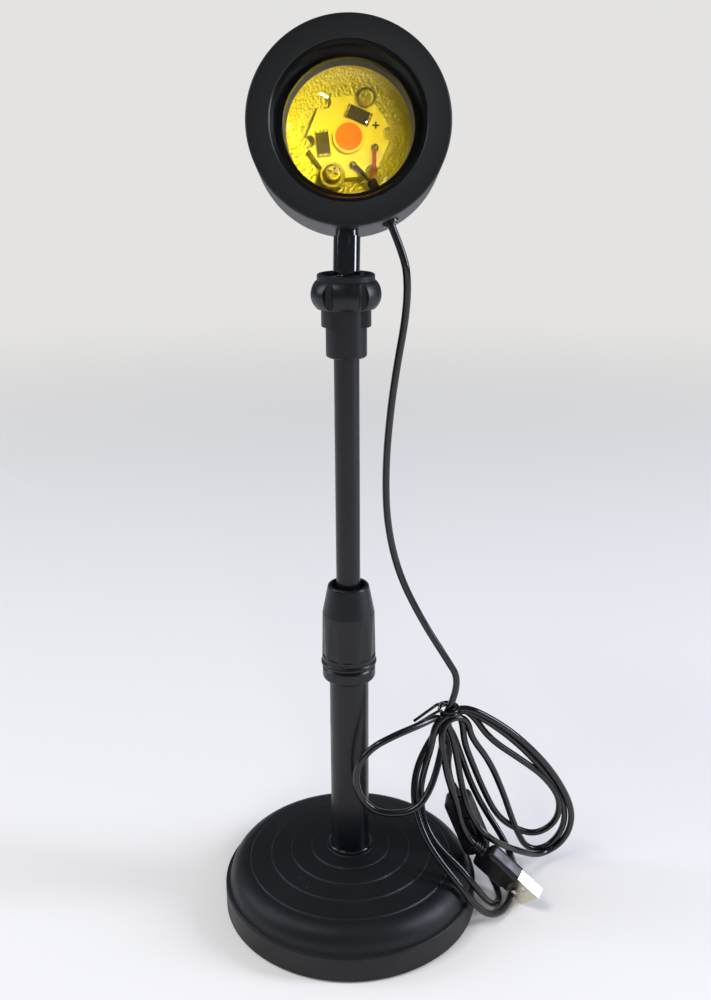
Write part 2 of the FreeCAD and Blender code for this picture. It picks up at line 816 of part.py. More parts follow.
# The cord leaves the grommet square to the casing and hangs beside the pole.
outward = stem_frame.Rotation.multVec(V(radial.x, 0, -radial.y))
lead_start = head_frame.multVec(lead_face)
lead_route = [lead_start, lead_start + outward * 17.0] + [V(*p) for p in (
    (21.4, 4.0, 249.5),
    (20.6, 4.6, 237.0),
    (17.9, 4.9, 221.5),
    (15.4, 5.2, 203.0),
    (13.9, 5.4, 182.0),
    (14.5, 5.6, 161.0),
    (19.1, 5.6, 140.5),
    (28.2, 5.2, 121.5),
    (37.2, 4.8, 106.5),
    (44.0, 4.6, 95.0),
    (39.0, 4.8, 83.0),
)]
save("lead_tube", tube_along("lead_tube", lead_route, cord_r).cut(bunch))

# ---------------------------------------------------------------- fan of loops

# the bigger loops, as one solid of their outer shape
fan_lean = 0.20           # how far the fan leans back for each millimetre down
fan_thick = 6.0


def in_fan(x, z):
    """A place in the middle plane of the fan of loops."""
    return V(x, bunch_middle.y + 1.2 + fan_lean * (bunch_middle.z + 2.5 - z), z)


fan_edges = [
    Part.Arc(in_fan(43.4, 80.4), in_fan(64.0, 74.6), in_fan(82.0, 56.0)),
    Part.Arc(in_fan(82.0, 56.0), in_fan(95.0, 27.0), in_fan(86.0, 4.0)),
    Part.Arc(in_fan(86.0, 4.0), in_fan(77.0, 4.2), in_fan(67.5, 9.5)),
    Part.Arc(in_fan(67.5, 9.5), in_fan(57.5, 34.0), in_fan(46.5, 71.0)),
    Part.LineSegment(in_fan(46.5, 71.0), in_fan(43.4, 80.4)),
]
fan_normal = V(0, 1, fan_lean).normalize()
fan_face = Part.Face(Part.Wire([e.toShape() for e in fan_edges]))
fan = fan_face.extrude(fan_normal * fan_thick)
fan.translate(fan_normal * (-fan_thick / 2))
save("fan_loops", fan)

# ---------------------------------------------------------------- loops of the bunch

switch_axis = V(10.1, -0.5, -25.6).normalize()
switch_middle = V(48.2, 5.7, 30.3)
plug_axis = V(19.8, -4.8, -17.9).normalize()
plug_tip = V(73.4, -9.6, 5.4)
switch_top = switch_middle - switch_axis * (switch_long / 2)
switch_foot = switch_middle + switch_axis * (switch_long / 2)
grip_end = plug_tip - plug_axis * (usb_long + grip_long)


def places(*points):
    """Points of a route."""
    return [V(*p) for p in points]


loop_routes = {
    # a loop that swings out in front of the pole
    "left_loop_tube": places(
        (36.2, 3.6, 79.6),
        (27.6, -4.2, 81.6),
        (17.5, -10.5, 80.8),
        (7.5, -13.2, 76.5),
        (2.0, -13.6, 67.0),
        (3.2, -13.4, 56.0),
        (10.0, -13.8, 48.5),
        (21.0, -15.2, 48.8),
        (27.2, -14.0, 51.6),
        (31.7, -9.6, 56.7),
        (34.9, -3.8, 63.8),
        (37.3, 3.2, 74.5),
    ),
    # a turn that hangs over the edge of the base, runs under the plug and comes up behind it
    "low_loop_outer": places(
        (34.4, 3.8, 75.5),
        (27.6, -2.6, 66.2),
        (24.8, -7.6, 56.0),
        (26.0, -12.0, 46.4),
        (29.8, -16.2, 37.4),
        (35.6, -19.6, 29.4),
        (42.2, -22.2, 21.6),
        (48.4, -22.6, 12.6),
        (54.4, -20.0, 5.0),
        (60.4, -15.4, 2.9),
        (64.4, -8.2, 2.6),
        (66.8, -0.6, 2.8),
        (69.3, 5.4, 5.9),
        (66.4, 9.6, 13.7),
        (61.9, 12.2, 21.7),
        (57.3, 14.8, 28.3),
        (53.5, 15.8, 35.0),
        (49.2, 14.2, 45.7),
        (45.3, 11.0, 58.6),
        (42.4, 8.8, 69.5),
        (40.8, 7.4, 73.5),
    ),
    # a turn beside it that ends in the foot of the switch
    "low_loop_inner": places(
        (35.8, 0.8, 74.8),
        (32.2, -1.9, 69.0),
        (29.5, -3.4, 61.8),
        (27.7, -5.0, 52.8),
        (28.5, -8.2, 44.8),
        (30.7, -11.2, 38.1),
        (35.4, -14.0, 31.8),
        (43.8, -17.9, 25.2),
        (50.1, -18.8, 16.2),
        (54.9, -16.2, 8.2),
        (58.1, -11.4, 3.3),
        (60.0, -5.6, 1.9),
        (60.9, 0.2, 1.9),
    ) + [switch_foot + switch_axis * 12.0, switch_foot - switch_axis * 1.0],
    # the near side of the fan's biggest loop, which crosses in front of the switch
    "fan_left_tube": places(
        (41.2, 4.0, 74.5),
        (42.9, 3.2, 62.1),
        (44.5, 1.2, 52.3),
        (46.9, -1.5, 42.9),
        (50.7, -2.1, 34.8),
        (55.2, -2.9, 29.7),
        (60.2, -0.6, 24.6),
        (66.2, 5.8, 17.5),
        (72.3, 9.0, 13.1),
        (78.6, 13.6, 9.1),
        (84.6, 18.0, 6.3),
    ),
    "switch_lead": places(
        (38.9, 6.2, 74.5),
        (40.0, 8.0, 66.0),
    ) + [switch_top - switch_axis * 11.0, switch_top + switch_axis * 1.0],
    "plug_lead": places(
        (40.0, 2.0, 74.5),
        (38.3, -0.8, 64.7),
        (38.9, -3.0, 56.5),
        (42.2, -4.2, 47.6),
    ) + [grip_end - plug_axis * 11.0, grip_end - plug_axis * 3.0],
}
for name, points in loop_routes.items():
    save(name, tube_along(name, points, cord_r).cut(bunch).cut(fan))

# ---------------------------------------------------------------- in-line switch

# The switch lies along its own X, its button faces its own Z.
switch_face = V(-0.2, -1, 0)
switch_face = (switch_face - switch_axis * switch_face.dot(switch_axis)).normalize()
switch_place = Placement(switch_middle, Rotation(switch_axis, V(0, 0, 0), switch_face, "XZY"))

half_thick = switch_thick / 2
shell_plate = 1.2
cavity_long = switch_long - 2 * shell_plate
cavity_wide = switch_wide - 2 * shell_plate


def switch_half(low, high):
    """Half of the switch's case, hollow inside, with a round way for the cord at each end."""
    middle = V(0, 0, (low + high) / 2)
    shell = block(switch_long, switch_wide, high - low, middle, switch_corner)
    face_z = high if high > 0 else low
    near = 1e-6
    rim = [e for e in shell.Edges
           if abs(e.BoundBox.ZMin - face_z) < near and abs(e.BoundBox.ZMax - face_z) < near]
    shell = shell.makeFillet(1.2, rim)
    cavity_high = switch_thick - 2 * shell_plate
    shell = shell.cut(block(cavity_long, cavity_wide, cavity_high, V(0, 0, 0), switch_corner - shell_plate))
    way = Part.makeCylinder(cord_r + 0.05, switch_long + 2, V(-switch_long / 2 - 1, 0, 0), V(1, 0, 0))
    return shell.cut(way)


button_hole = block(button_long + 0.5, button_wide + 0.5, 6, V(0, 0, half_thick), 1.6)
save("switch_top_shell", moved(switch_half(0.02, half_thick).cut(button_hole), switch_place))
save("switch_bottom_shell", moved(switch_half(-half_thick, 0), switch_place))
button = block(button_long, button_wide, 3.0, V(0, 0, half_thick + button_proud - 1.5), 1.5)
crown_edges = [e for e in button.Edges if e.BoundBox.ZMin > half_thick + button_proud - 0.01]
button = button.makeFillet(0.5, crown_edges)
save("switch_button", moved(button, switch_place))
contact_top = half_thick + button_proud - 3.0 - button_travel - 0.1
contact = block(12.0, 5.0, 0.4, V(0, 0, contact_top - 0.2))
contact_post = block(3.0, 5.0, contact_top + half_thick - shell_plate - 0.4, V(0, 0, 0))
contact_post.translate(V(0, 0, (contact_top - 0.4 - half_thick + shell_plate) / 2))
save("switch_contact", moved(contact.fuse(contact_post).removeSplitter(), switch_place))

relief_long = 5.0
reliefs = []
for side in (-1, 1):
    relief_foot = V(side * switch_long / 2, 0, 0)
    cone = Part.makeCone(2.6, 1.9, relief_long, relief_foot, V(side, 0, 0))
    bore = Part.makeCylinder(cord_r + push_gap, relief_long + 1, relief_foot, V(side, 0, 0))
    reliefs.append(cone.cut(bore))
save("switch_reliefs", moved(Part.Compound(reliefs), switch_place))

# ---------------------------------------------------------------- USB plug

# The plug lies along its own X, with the open end of its shell forwards.
plug_face = V(-0.52, -0.81, -0.28)
plug_face = (plug_face - plug_axis * plug_face.dot(plug_axis)).normalize()
plug_place = Placement(plug_tip, Rotation(plug_axis, V(0, 0, 0), plug_face, "XZY"))
grip_front = -usb_long
grip_back = grip_front - grip_long


def usb_shell():
    """The folded steel shell, open in front, with two square windows in each wide face."""
    into_grip = 5.0
    length = usb_long + into_grip
    middle = V(-length / 2, 0, 0)
    shell = Part.makeBox(length, usb_wide, usb_thick, V(-length, -usb_wide / 2, -usb_thick / 2))
    inside = Part.makeBox(length + 2, usb_wide - 2 * usb_wall, usb_thick - 2 * usb_wall,
                          V(-length - 1, -usb_wide / 2 + usb_wall, -usb_thick / 2 + usb_wall))
    shell = shell.cut(inside)
    for side in (-1, 1):
        window = block(2.2, 2.2, usb_thick + 2, V(middle.x + 2.2, side * 2.9, 0))
        shell = shell.cut(window)
    return shell


def usb_grip():
    """The moulded grip, rounded, with a notched strain relief behind it."""
    length = grip_front - grip_back
    middle = V((grip_front + grip_back) / 2, 0, 0)
    body = block(length, grip_wide, grip_thick, middle)
    soft = [e for e in body.Edges if e.BoundBox.XLength > 1 or e.BoundBox.XMax < grip_back + 0.1]
    body = body.makeFillet(2.0, soft)
    relief = Part.makeCone(2.1, 2.9, relief_long, V(grip_back - relief_long, 0, 0), V(1, 0, 0))
    body = body.fuse(relief)
    for k in range(3):
        notch = ring(2.0, 6, 0, 0.6)
        notch.rotate(V(0, 0, 0), V(0, 1, 0), 90)
        notch.translate(V(grip_back - 1.8 - 1.3 * k, 0, 0))
        body = body.cut(notch)
    body = body.cut(Part.makeCylinder(cord_r + push_gap, 14, V(grip_back - 10, 0, 0), V(1, 0, 0)))
    pocket = block(5.2, usb_wide + 0.04, usb_thick + 0.04, V(grip_front - 2.5, 0, 0))
    return body.cut(pocket).removeSplitter()


save("usb_shell", moved(usb_shell(), plug_place))
save("usb_grip", moved(usb_grip(), plug_place))
tongue_thick = 1.8
tongue = block(usb_long + 4.4, usb_wide - 2 * usb_wall - 0.4, tongue_thick,
               V(-0.6 - (usb_long + 4.4) / 2, 0, usb_thick / 2 - usb_wall - tongue_thick / 2 - 0.02))
save("usb_tongue", moved(tongue, plug_place))
contact_face = usb_thick / 2 - usb_wall - tongue_thick - 0.02
contacts = [block(7.5, 1.0, 0.2, V(-5.2, offset, contact_face - 0.1)) for offset in (-3.5, -1.2, 1.2, 3.5)]
save("usb_contacts", moved(Part.Compound(contacts), plug_place))
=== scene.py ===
import math

import bmesh
import bpy
from mathutils import Matrix, Vector


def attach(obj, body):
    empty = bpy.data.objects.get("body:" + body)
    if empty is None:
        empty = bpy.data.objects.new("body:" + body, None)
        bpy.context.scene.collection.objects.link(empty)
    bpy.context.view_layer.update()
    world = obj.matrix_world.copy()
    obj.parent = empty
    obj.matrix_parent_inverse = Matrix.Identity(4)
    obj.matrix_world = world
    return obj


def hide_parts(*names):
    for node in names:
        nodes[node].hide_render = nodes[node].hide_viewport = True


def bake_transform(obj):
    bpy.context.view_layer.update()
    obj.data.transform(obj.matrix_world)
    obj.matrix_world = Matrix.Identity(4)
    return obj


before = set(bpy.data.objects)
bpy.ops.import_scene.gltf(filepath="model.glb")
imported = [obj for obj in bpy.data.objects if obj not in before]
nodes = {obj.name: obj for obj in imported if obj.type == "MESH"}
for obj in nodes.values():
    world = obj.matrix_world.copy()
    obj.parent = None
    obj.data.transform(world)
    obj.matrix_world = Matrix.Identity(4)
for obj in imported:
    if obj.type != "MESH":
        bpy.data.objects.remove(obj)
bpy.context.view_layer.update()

# ---------------------------------------------------------------- camera
# The photograph was taken from in front and a little above the lamp, close up,
# so the base looks wider than it would from far off. The camera stands 380 mm
# in front of the pole and 300 mm up, and looks down by 18.8 degrees.
camera_place = (0.00285, -0.3798, 0.3017)
looks_down = 18.8         # degrees
rolled = -0.31            # degrees
camera_data = bpy.data.cameras.new("photo_camera")
camera_data.lens = 39.6   # mm
camera_data.sensor_width = 36.0
camera_data.clip_start = 0.01
camera_data.clip_end = 50.0
camera = bpy.data.objects.new("photo_camera", camera_data)
camera.matrix_world = (
    Matrix.Translation(camera_place)
    @ Matrix.Rotation(math.radians(90 - looks_down), 4, "X")
    @ Matrix.Rotation(math.radians(rolled), 4, "Z")
)
bpy.context.scene.collection.objects.link(camera)
bpy.context.scene.camera = camera
bpy.context.scene.view_settings.view_transform = "Standard"

# ---------------------------------------------------------------- cord
# The cord is a pair of thin stranded wires in one black PVC jacket, 2.7 mm
# thick, extruded and glossy. It is limp, and keeps the soft curls of the hank
# that it was packed in.
cord_r = 0.00135
cord_sides = 20


def linear(code):
    """An sRGB hex colour as the linear colour that a shader takes."""
    parts = [int(code[k:k + 2], 16) / 255 for k in (1, 3, 5)]
    return [p / 12.92 if p <= 0.04045 else ((p + 0.055) / 1.055) ** 2.4 for p in parts] + [1.0]


def add(tree, kind, inputs, **settings):
    """One shader node, with its settings, and its inputs as values or as other nodes' sockets."""
    node = tree.nodes.new(kind)
    for name, value in settings.items():
        setattr(node, name, value)
    for name, value in inputs.items():
        if isinstance(value, bpy.types.NodeSocket):
            tree.links.new(value, node.inputs[name])
        else:
            node.inputs[name].default_value = value
    return node


def new_finish(name, inputs):
    """A material with one Principled shader, its node tree, and the place on the piece."""
    material = bpy.data.materials.new(name)
    material.use_nodes = True
    tree = material.node_tree
    tree.nodes.clear()
    place = add(tree, "ShaderNodeTexCoord", {}).outputs["Object"]
    shader = add(tree, "ShaderNodeBsdfPrincipled", inputs)
    add(tree, "ShaderNodeOutputMaterial", {"Surface": shader.outputs[0]})
    return material, tree, shader, place


# extruded PVC: near black, an even gloss, with the faint draw lines and dull
# patches that handling leaves
cord_pvc, tree, shader, place = new_finish("extruded_pvc", {
    "Base Color": linear("#0a0a0c"), "IOR": 1.53})
scuff = add(tree, "ShaderNodeTexNoise", {"Vector": place, "Scale": 1000 / 4.0, "Detail": 3.0})
dull = add(tree, "ShaderNodeMapRange", {"Value": scuff.outputs["Fac"], "From Min": 0.35,
                                        "From Max": 0.7, "To Min": 0.14, "To Max": 0.26})
tree.links.new(dull.outputs["Result"], shader.inputs["Roughness"])
grain = add(tree, "ShaderNodeTexNoise", {"Vector": place, "Scale": 1000 / 0.5, "Detail": 1.0})
skin = add(tree, "ShaderNodeBump", {"Height": grain.outputs["Fac"], "Strength": 0.12,
                                    "Distance": 0.00005})
tree.links.new(skin.outputs["Normal"], shader.inputs["Normal"])


def cord_curve(name, points, thick):
    """A smooth curve with the route's points as its control points."""
    curve = bpy.data.curves.new(name, "CURVE")
    curve.dimensions = "3D"
    spline = curve.splines.new("NURBS")
    spline.points.add(len(points) - 1)
    for knot, point in zip(spline.points, points):
        knot.co = (*point, 1.0)
    spline.order_u = 3
    spline.use_endpoint_u = True
    curve.resolution_u = 10
    curve.bevel_depth = thick
    curve.bevel_resolution = 5
    curve.use_fill_caps = thick > 0
    return bpy.data.objects.new(name, curve)


# The lead hangs from the head to the tied bunch beside the pole.
lead_route = [
    (0.01305, 0.00629, 0.27510),
    (0.01996, 0.00296, 0.25993),
    (0.0214, 0.0040, 0.2495),
    (0.0206, 0.0046, 0.2370),
    (0.0179, 0.0049, 0.2215),
    (0.0154, 0.0052, 0.2030),
    (0.0139, 0.0054, 0.1820),
    (0.0145, 0.0056, 0.1610),
    (0.0191, 0.0056, 0.1405),
    (0.0282, 0.0052, 0.1215),
    (0.0372, 0.0048, 0.1065),
    (0.0440, 0.0046, 0.0950),
    (0.0390, 0.0048, 0.0830),
]


def smooth_points(points):
    """The places along the route's own smooth curve."""
    line = cord_curve("line", points, 0.0)
    mesh = bpy.data.meshes.new_from_object(line)
    found = [vertex.co.copy() for vertex in mesh.vertices]
    bpy.data.objects.remove(line)
    return found


def tube_rings(points, radius, sides):
    """Rings of corners round close points, carried on without a twist."""
    side = Vector((0, 1, 0))
    rings = []
    for k, point in enumerate(points):
        ahead = points[min(k + 1, len(points) - 1)] - points[max(k - 1, 0)]
        ahead.normalize()
        side = (side - ahead * side.dot(ahead)).normalized()
        across = ahead.cross(side)
        rings.append([point + radius * (math.cos(a) * side + math.sin(a) * across)
                      for a in (2 * math.pi * n / sides for n in range(sides))])
    return rings


def tube_mesh(name, rings):
    """A round tube over a run of rings, with a flat cap at each end."""
    mesh = bmesh.new()
    loops = [[mesh.verts.new(corner) for corner in ring] for ring in rings]
    for low, high in zip(loops, loops[1:]):
        for n in range(len(low)):
            m = (n + 1) % len(low)
            mesh.faces.new((low[n], low[m], high[m], high[n]))
    mesh.faces.new(loops[0][::-1])
    mesh.faces.new(loops[-1])
    bmesh.ops.recalc_face_normals(mesh, faces=mesh.faces)
    data = bpy.data.meshes.new(name)
    mesh.to_mesh(data)
    mesh.free()
    data.shade_smooth()
    data.set_sharp_from_angle(angle=math.radians(50))
    piece = bpy.data.objects.new(name, data)
    bpy.context.scene.collection.objects.link(piece)
    return piece


def run_length(points):
    """How long a run of points is."""
    return sum((b - a).length for a, b in zip(points, points[1:]))


lead_points = smooth_points(lead_route)
lead_rings = tube_rings(lead_points, cord_r, cord_sides)
# each stage of the lead, between two bodies: its name, its lower end's height, and the
# bodies at its upper and lower ends
lead_stages = [
    ("lead_at_head", 0.2400, "head", "stem"),
    ("lead_at_knob", 0.2080, "stem", "upper_pole"),
    ("lead_at_pole", 0.1740, "upper_pole", "bush"),
    ("lead_to_bunch", 0.0, "bush", "foot"),
]
start = 0
for name, low_z, upper_body, lower_body in lead_stages:
    end = start
    while end < len(lead_points) - 1 and lead_points[end].z > low_z:
        end += 1
    lead = tube_mesh(name, lead_rings[start:end + 1])
    lead.data.materials.append(cord_pvc)
    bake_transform(lead)
    if lower_body == "foot":
        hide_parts("lead_tube")
    start = end
hank_start = lead_points[-1]

# ---------------------------------------------------------------- spare length
# The spare cord is folded into loops and tied once. Two hang over the base, one
# swings out in front of the pole, and three stand in a fan on the table. The
# whole length is in sight, from the lead down to the switch and the plug.
switch_axis = Vector((0.0101, -0.0005, -0.0256)).normalized()
switch_middle = Vector((0.0482, 0.0057, 0.0303))
switch_half = 0.01375
switch_top = switch_middle - switch_axis * switch_half
switch_foot = switch_middle + switch_axis * switch_half
plug_axis = Vector((0.0198, -0.0048, -0.0179)).normalized()
plug_tip = Vector((0.0734, -0.0096, 0.0054))
plug_long = 0.0271        # the shell and the grip together
grip_end = plug_tip - plug_axis * plug_long
sunk_in_switch = 0.001
sunk_in_grip = 0.003
straight_run = 0.011      # how far the cord keeps straight beside a relief

low_outer = [
    (0.0276, -0.0026, 0.0662), (0.0248, -0.0076, 0.0560), (0.0260, -0.0120, 0.0464),
    (0.0298, -0.0162, 0.0374), (0.0356, -0.0196, 0.0294), (0.0422, -0.0222, 0.0216),
    (0.0484, -0.0226, 0.0126), (0.0544, -0.0200, 0.0050), (0.0604, -0.0154, 0.0024),
    (0.0644, -0.0082, 0.0017), (0.0668, -0.0006, 0.0018), (0.0693, 0.0054, 0.0059),
    (0.0664, 0.0096, 0.0137), (0.0619, 0.0122, 0.0217), (0.0573, 0.0148, 0.0283),
    (0.0535, 0.0158, 0.0350), (0.0492, 0.0142, 0.0457), (0.0453, 0.0110, 0.0586),
]
fan_outer = [
    (0.0530, 0.0060, 0.0804), (0.0660, 0.0079, 0.0706), (0.0792, 0.0109, 0.0557),
    (0.0878, 0.0136, 0.0420), (0.0932, 0.0162, 0.0291), (0.0936, 0.0184, 0.0181),
    (0.0904, 0.0202, 0.0096), (0.0850, 0.0199, 0.0054), (0.0789, 0.0152, 0.0070),
    (0.0723, 0.0090, 0.0131), (0.0662, 0.0058, 0.0175), (0.0602, -0.0006, 0.0246),
    (0.0552, -0.0029, 0.0297), (0.0507, -0.0021, 0.0348), (0.0469, -0.0015, 0.0429),
    (0.0445, 0.0012, 0.0523), (0.0429, 0.0032, 0.0621),
]
left_loop = [
    (0.0276, -0.0042, 0.0816), (0.0175, -0.0105, 0.0808), (0.0075, -0.0132, 0.0765),
    (0.0020, -0.0136, 0.0670), (0.0032, -0.0134, 0.0560), (0.0100, -0.0138, 0.0485),
    (0.0210, -0.0152, 0.0488), (0.0272, -0.0140, 0.0516), (0.0317, -0.0096, 0.0567),
    (0.0349, -0.0038, 0.0638),
]
fan_inner = [
    (0.0562, 0.0087, 0.0675), (0.0702, 0.0107, 0.0563), (0.0799, 0.0125, 0.0476),
    (0.0871, 0.0147, 0.0365), (0.0880, 0.0166, 0.0268), (0.0852, 0.0181, 0.0193),
    (0.0784, 0.0191, 0.0147), (0.0705, 0.0185, 0.0177), (0.0619, 0.0169, 0.0253),
    (0.0551, 0.0139, 0.0406), (0.0494, 0.0107, 0.0565),
]
low_inner = [
    (0.0295, -0.0034, 0.0618), (0.0277, -0.0050, 0.0528), (0.0285, -0.0082, 0.0448),
    (0.0307, -0.0112, 0.0381), (0.0354, -0.0140, 0.0318), (0.0438, -0.0179, 0.0252),
    (0.0501, -0.0188, 0.0162), (0.0549, -0.0162, 0.0082), (0.0581, -0.0114, 0.0033),
    (0.0608, -0.0067, 0.0018), (0.0609, 0.0002, 0.0019),
]
fan_third = [
    (0.0548, 0.0082, 0.0764), (0.0676, 0.0102, 0.0650), (0.0790, 0.0126, 0.0512),
    (0.0868, 0.0152, 0.0385), (0.0908, 0.0178, 0.0275), (0.0906, 0.0196, 0.0170),
    (0.0864, 0.0210, 0.0085), (0.0804, 0.0207, 0.0055), (0.0749, 0.0197, 0.0083),
    (0.0712, 0.0184, 0.0160), (0.0684, 0.0173, 0.0235), (0.0630, 0.0139, 0.0405),
    (0.0567, 0.0107, 0.0564),
]

# Between two loops the cord turns over inside the tie, in soft folds more than
# four diameters across.
fold_to_fan = [
    (0.0420, 0.0089, 0.0690), (0.0390, 0.0079, 0.0748), (0.0402, 0.0072, 0.0806),
    (0.0455, 0.0062, 0.0833),
]
fold_to_left = [
    (0.0410, 0.0046, 0.0705), (0.0386, 0.0054, 0.0770), (0.0346, 0.0026, 0.0814),
]
fold_to_inner = [
    (0.0373, 0.0027, 0.0720), (0.0373, 0.0067, 0.0789), (0.0428, 0.0088, 0.0819),
    (0.0492, 0.0093, 0.0786),
]
fold_to_low = [
    (0.0462, 0.0082, 0.0660), (0.0452, 0.0075, 0.0746), (0.0435, 0.0052, 0.0810),
    (0.0384, 0.0022, 0.0826), (0.0334, 0.0003, 0.0786), (0.0324, -0.0012, 0.0710),
]
fold_from_switch = [
    (0.0405, 0.0082, 0.0659), (0.0371, 0.0081, 0.0729), (0.0390, 0.0086, 0.0790),
    (0.0453, 0.0088, 0.0811),
]
fold_to_plug = [
    (0.0490, 0.0088, 0.0680), (0.0473, 0.0073, 0.0763), (0.0430, 0.0046, 0.0802),
    (0.0382, 0.0023, 0.0792), (0.0359, 0.0003, 0.0746),
]

# From the lead through five loops to the foot of the switch.
to_switch = (
    [hank_start, (0.0371, 0.0048, 0.0784)]
    + low_outer + fold_to_fan + fan_outer + fold_to_left + left_loop
    + fold_to_inner + fan_inner + fold_to_low + low_inner
    + [switch_foot + switch_axis * (straight_run + 0.001), switch_foot - switch_axis * sunk_in_switch]
)
# From the top of the switch through the third loop of the fan to the plug.
to_plug = (
    [switch_top + switch_axis * sunk_in_switch, switch_top - switch_axis * straight_run]
    + fold_from_switch + fan_third + fold_to_plug
    + [(0.0371, -0.0014, 0.0655), (0.0389, -0.0030, 0.0565), (0.0422, -0.0042, 0.0476)]
    + [grip_end - plug_axis * straight_run, grip_end - plug_axis * sunk_in_grip]
)
cord_to_switch = cord_curve("cord_to_switch", to_switch, cord_r)
cord_to_plug = cord_curve("cord_to_plug", to_plug, cord_r)
for piece in (cord_to_switch, cord_to_plug):
    bpy.context.scene.collection.objects.link(piece)
    piece.data.materials.append(cord_pvc)
    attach(piece, "foot")
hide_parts("cord_bunch", "fan_loops", "fan_left_tube", "left_loop_tube",
            "low_loop_outer", "low_loop_inner")
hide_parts("switch_lead", "plug_lead")
run_length(smooth_points(to_switch))
run_length(smooth_points(to_plug))

# ---------------------------------------------------------------- tie
# A short wire with a gloss plastic coat holds the folded cord. It is wound twice
# round it, crossed in front, and its two ends stand off to the left.
trim_plastic, tree, shader, place = new_finish("gloss_moulded_abs", {
    "Base Color": linear("#0c0c0f"), "Roughness": 0.16, "IOR": 1.54})
# gloss ABS: black, nearly a mirror, with a faint waviness from the mould
wave = add(tree, "ShaderNodeTexNoise", {"Vector": place, "Scale": 1000 / 3.0, "Detail": 2.0})
skin = add(tree, "ShaderNodeBump", {"Height": wave.outputs["Fac"], "Strength": 0.08, "Distance": 0.0002})
tree.links.new(skin.outputs["Normal"], shader.inputs["Normal"])

tie_r = 0.00058
tie_middle = Vector((0.0392, 0.0050, 0.0838))
tie_wind_r = 0.0041
tie_wind_high = 0.0009    # the first turn's height over the middle
tie_wind_drop = 0.00017   # how far it drops in an eighth of a turn
tie_points = [(0.0251, -0.0025, 0.0823), (0.0306, -0.0020, 0.0864), (0.0353, -0.0006, 0.0895)]
for k in range(17):
    turn = math.radians(215 - 45 * k)
    tie_points.append(tie_middle + Vector((tie_wind_r * math.cos(turn), tie_wind_r * math.sin(turn),
                                           tie_wind_high - tie_wind_drop * k)))
tie_points += [(0.0361, -0.0006, 0.0864), (0.0313, -0.0022, 0.0843), (0.0263, -0.0032, 0.0814)]
wire_tie = cord_curve("wire_tie", tie_points, tie_r)
bpy.context.scene.collection.objects.link(wire_tie)
wire_tie.data.materials.append(trim_plastic)
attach(wire_tie, "foot")
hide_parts("cable_tie")

# ---------------------------------------------------------------- base
# A cover of black ABS, moulded with a spark-eroded texture, is pressed over a
# cast iron disc. A foam ring is glued under the disc, and one bolt holds the
# pole.


def dress(material, *names):
    """Give CAD pieces their finish."""
    for name in names:
        for slot in nodes[name].material_slots:
            slot.material = material


# spark-eroded ABS: even and matt from far off, a fine grain and a few pale
# specks of dust from near by; the real grain of 0.1 mm is drawn at 0.3 mm
spark_abs, tree, shader, place = new_finish("spark_textured_abs", {
    "IOR": 1.54, "Specular IOR Level": 0.32})
grain = add(tree, "ShaderNodeTexNoise", {"Vector": place, "Scale": 1000 / 0.3, "Detail": 3.0,
                                          "Roughness": 0.6})
skin = add(tree, "ShaderNodeBump", {"Height": grain.outputs["Fac"], "Strength": 0.4, "Distance": 0.00008})
tree.links.new(skin.outputs["Normal"], shader.inputs["Normal"])
cloud = add(tree, "ShaderNodeTexNoise", {"Vector": place, "Scale": 1000 / 14.0, "Detail": 4.0})
sheen = add(tree, "ShaderNodeMapRange", {"Value": cloud.outputs["Fac"], "From Min": 0.3, "From Max": 0.7,
                                          "To Min": 0.42, "To Max": 0.56})
tree.links.new(sheen.outputs["Result"], shader.inputs["Roughness"])
dust = add(tree, "ShaderNodeTexVoronoi", {"Vector": place, "Scale": 1000 / 3.5})
speck = add(tree, "ShaderNodeMapRange", {"Value": dust.outputs["Distance"], "From Min": 0.05,
                                          "From Max": 0.1, "To Min": 1.0, "To Max": 0.0})
pick = add(tree, "ShaderNodeMath", {0: cloud.outputs["Fac"], 1: 0.56}, operation="GREATER_THAN")
speck = add(tree, "ShaderNodeMath", {0: speck.outputs["Result"], 1: pick.outputs[0]}, operation="MULTIPLY")
shade = add(tree, "ShaderNodeMix", {0: speck.outputs[0], 6: linear("#0e0f11"), 7: linear("#3a3b3c")},
            data_type="RGBA")
tree.links.new(shade.outputs[2], shader.inputs["Base Color"])
dress(spark_abs, "base_shell")

# sand-cast iron, unpainted: dark grey, coarse and dull
cast_iron, tree, shader, place = new_finish("sand_cast_iron", {
    "Base Color": linear("#55555a"), "Metallic": 1.0, "Roughness": 0.65})
sand = add(tree, "ShaderNodeTexNoise", {"Vector": place, "Scale": 1000 / 0.9, "Detail": 4.0})
skin = add(tree, "ShaderNodeBump", {"Height": sand.outputs["Fac"], "Strength": 0.7, "Distance": 0.0003})
tree.links.new(skin.outputs["Normal"], shader.inputs["Normal"])
dress(cast_iron, "base_weight")

# EVA foam: black, without gloss, with open cells of about half a millimetre
eva_foam, tree, shader, place = new_finish("eva_foam", {
    "Base Color": linear("#1a1a1b"), "Roughness": 0.95, "IOR": 1.5})
cells = add(tree, "ShaderNodeTexVoronoi", {"Vector": place, "Scale": 1000 / 0.5})
skin = add(tree, "ShaderNodeBump", {"Height": cells.outputs["Distance"], "Strength": 0.5,
                                    "Distance": 0.0002})
tree.links.new(skin.outputs["Normal"], shader.inputs["Normal"])
dress(eva_foam, "base_pad", "ball_pad", "lens_seal")

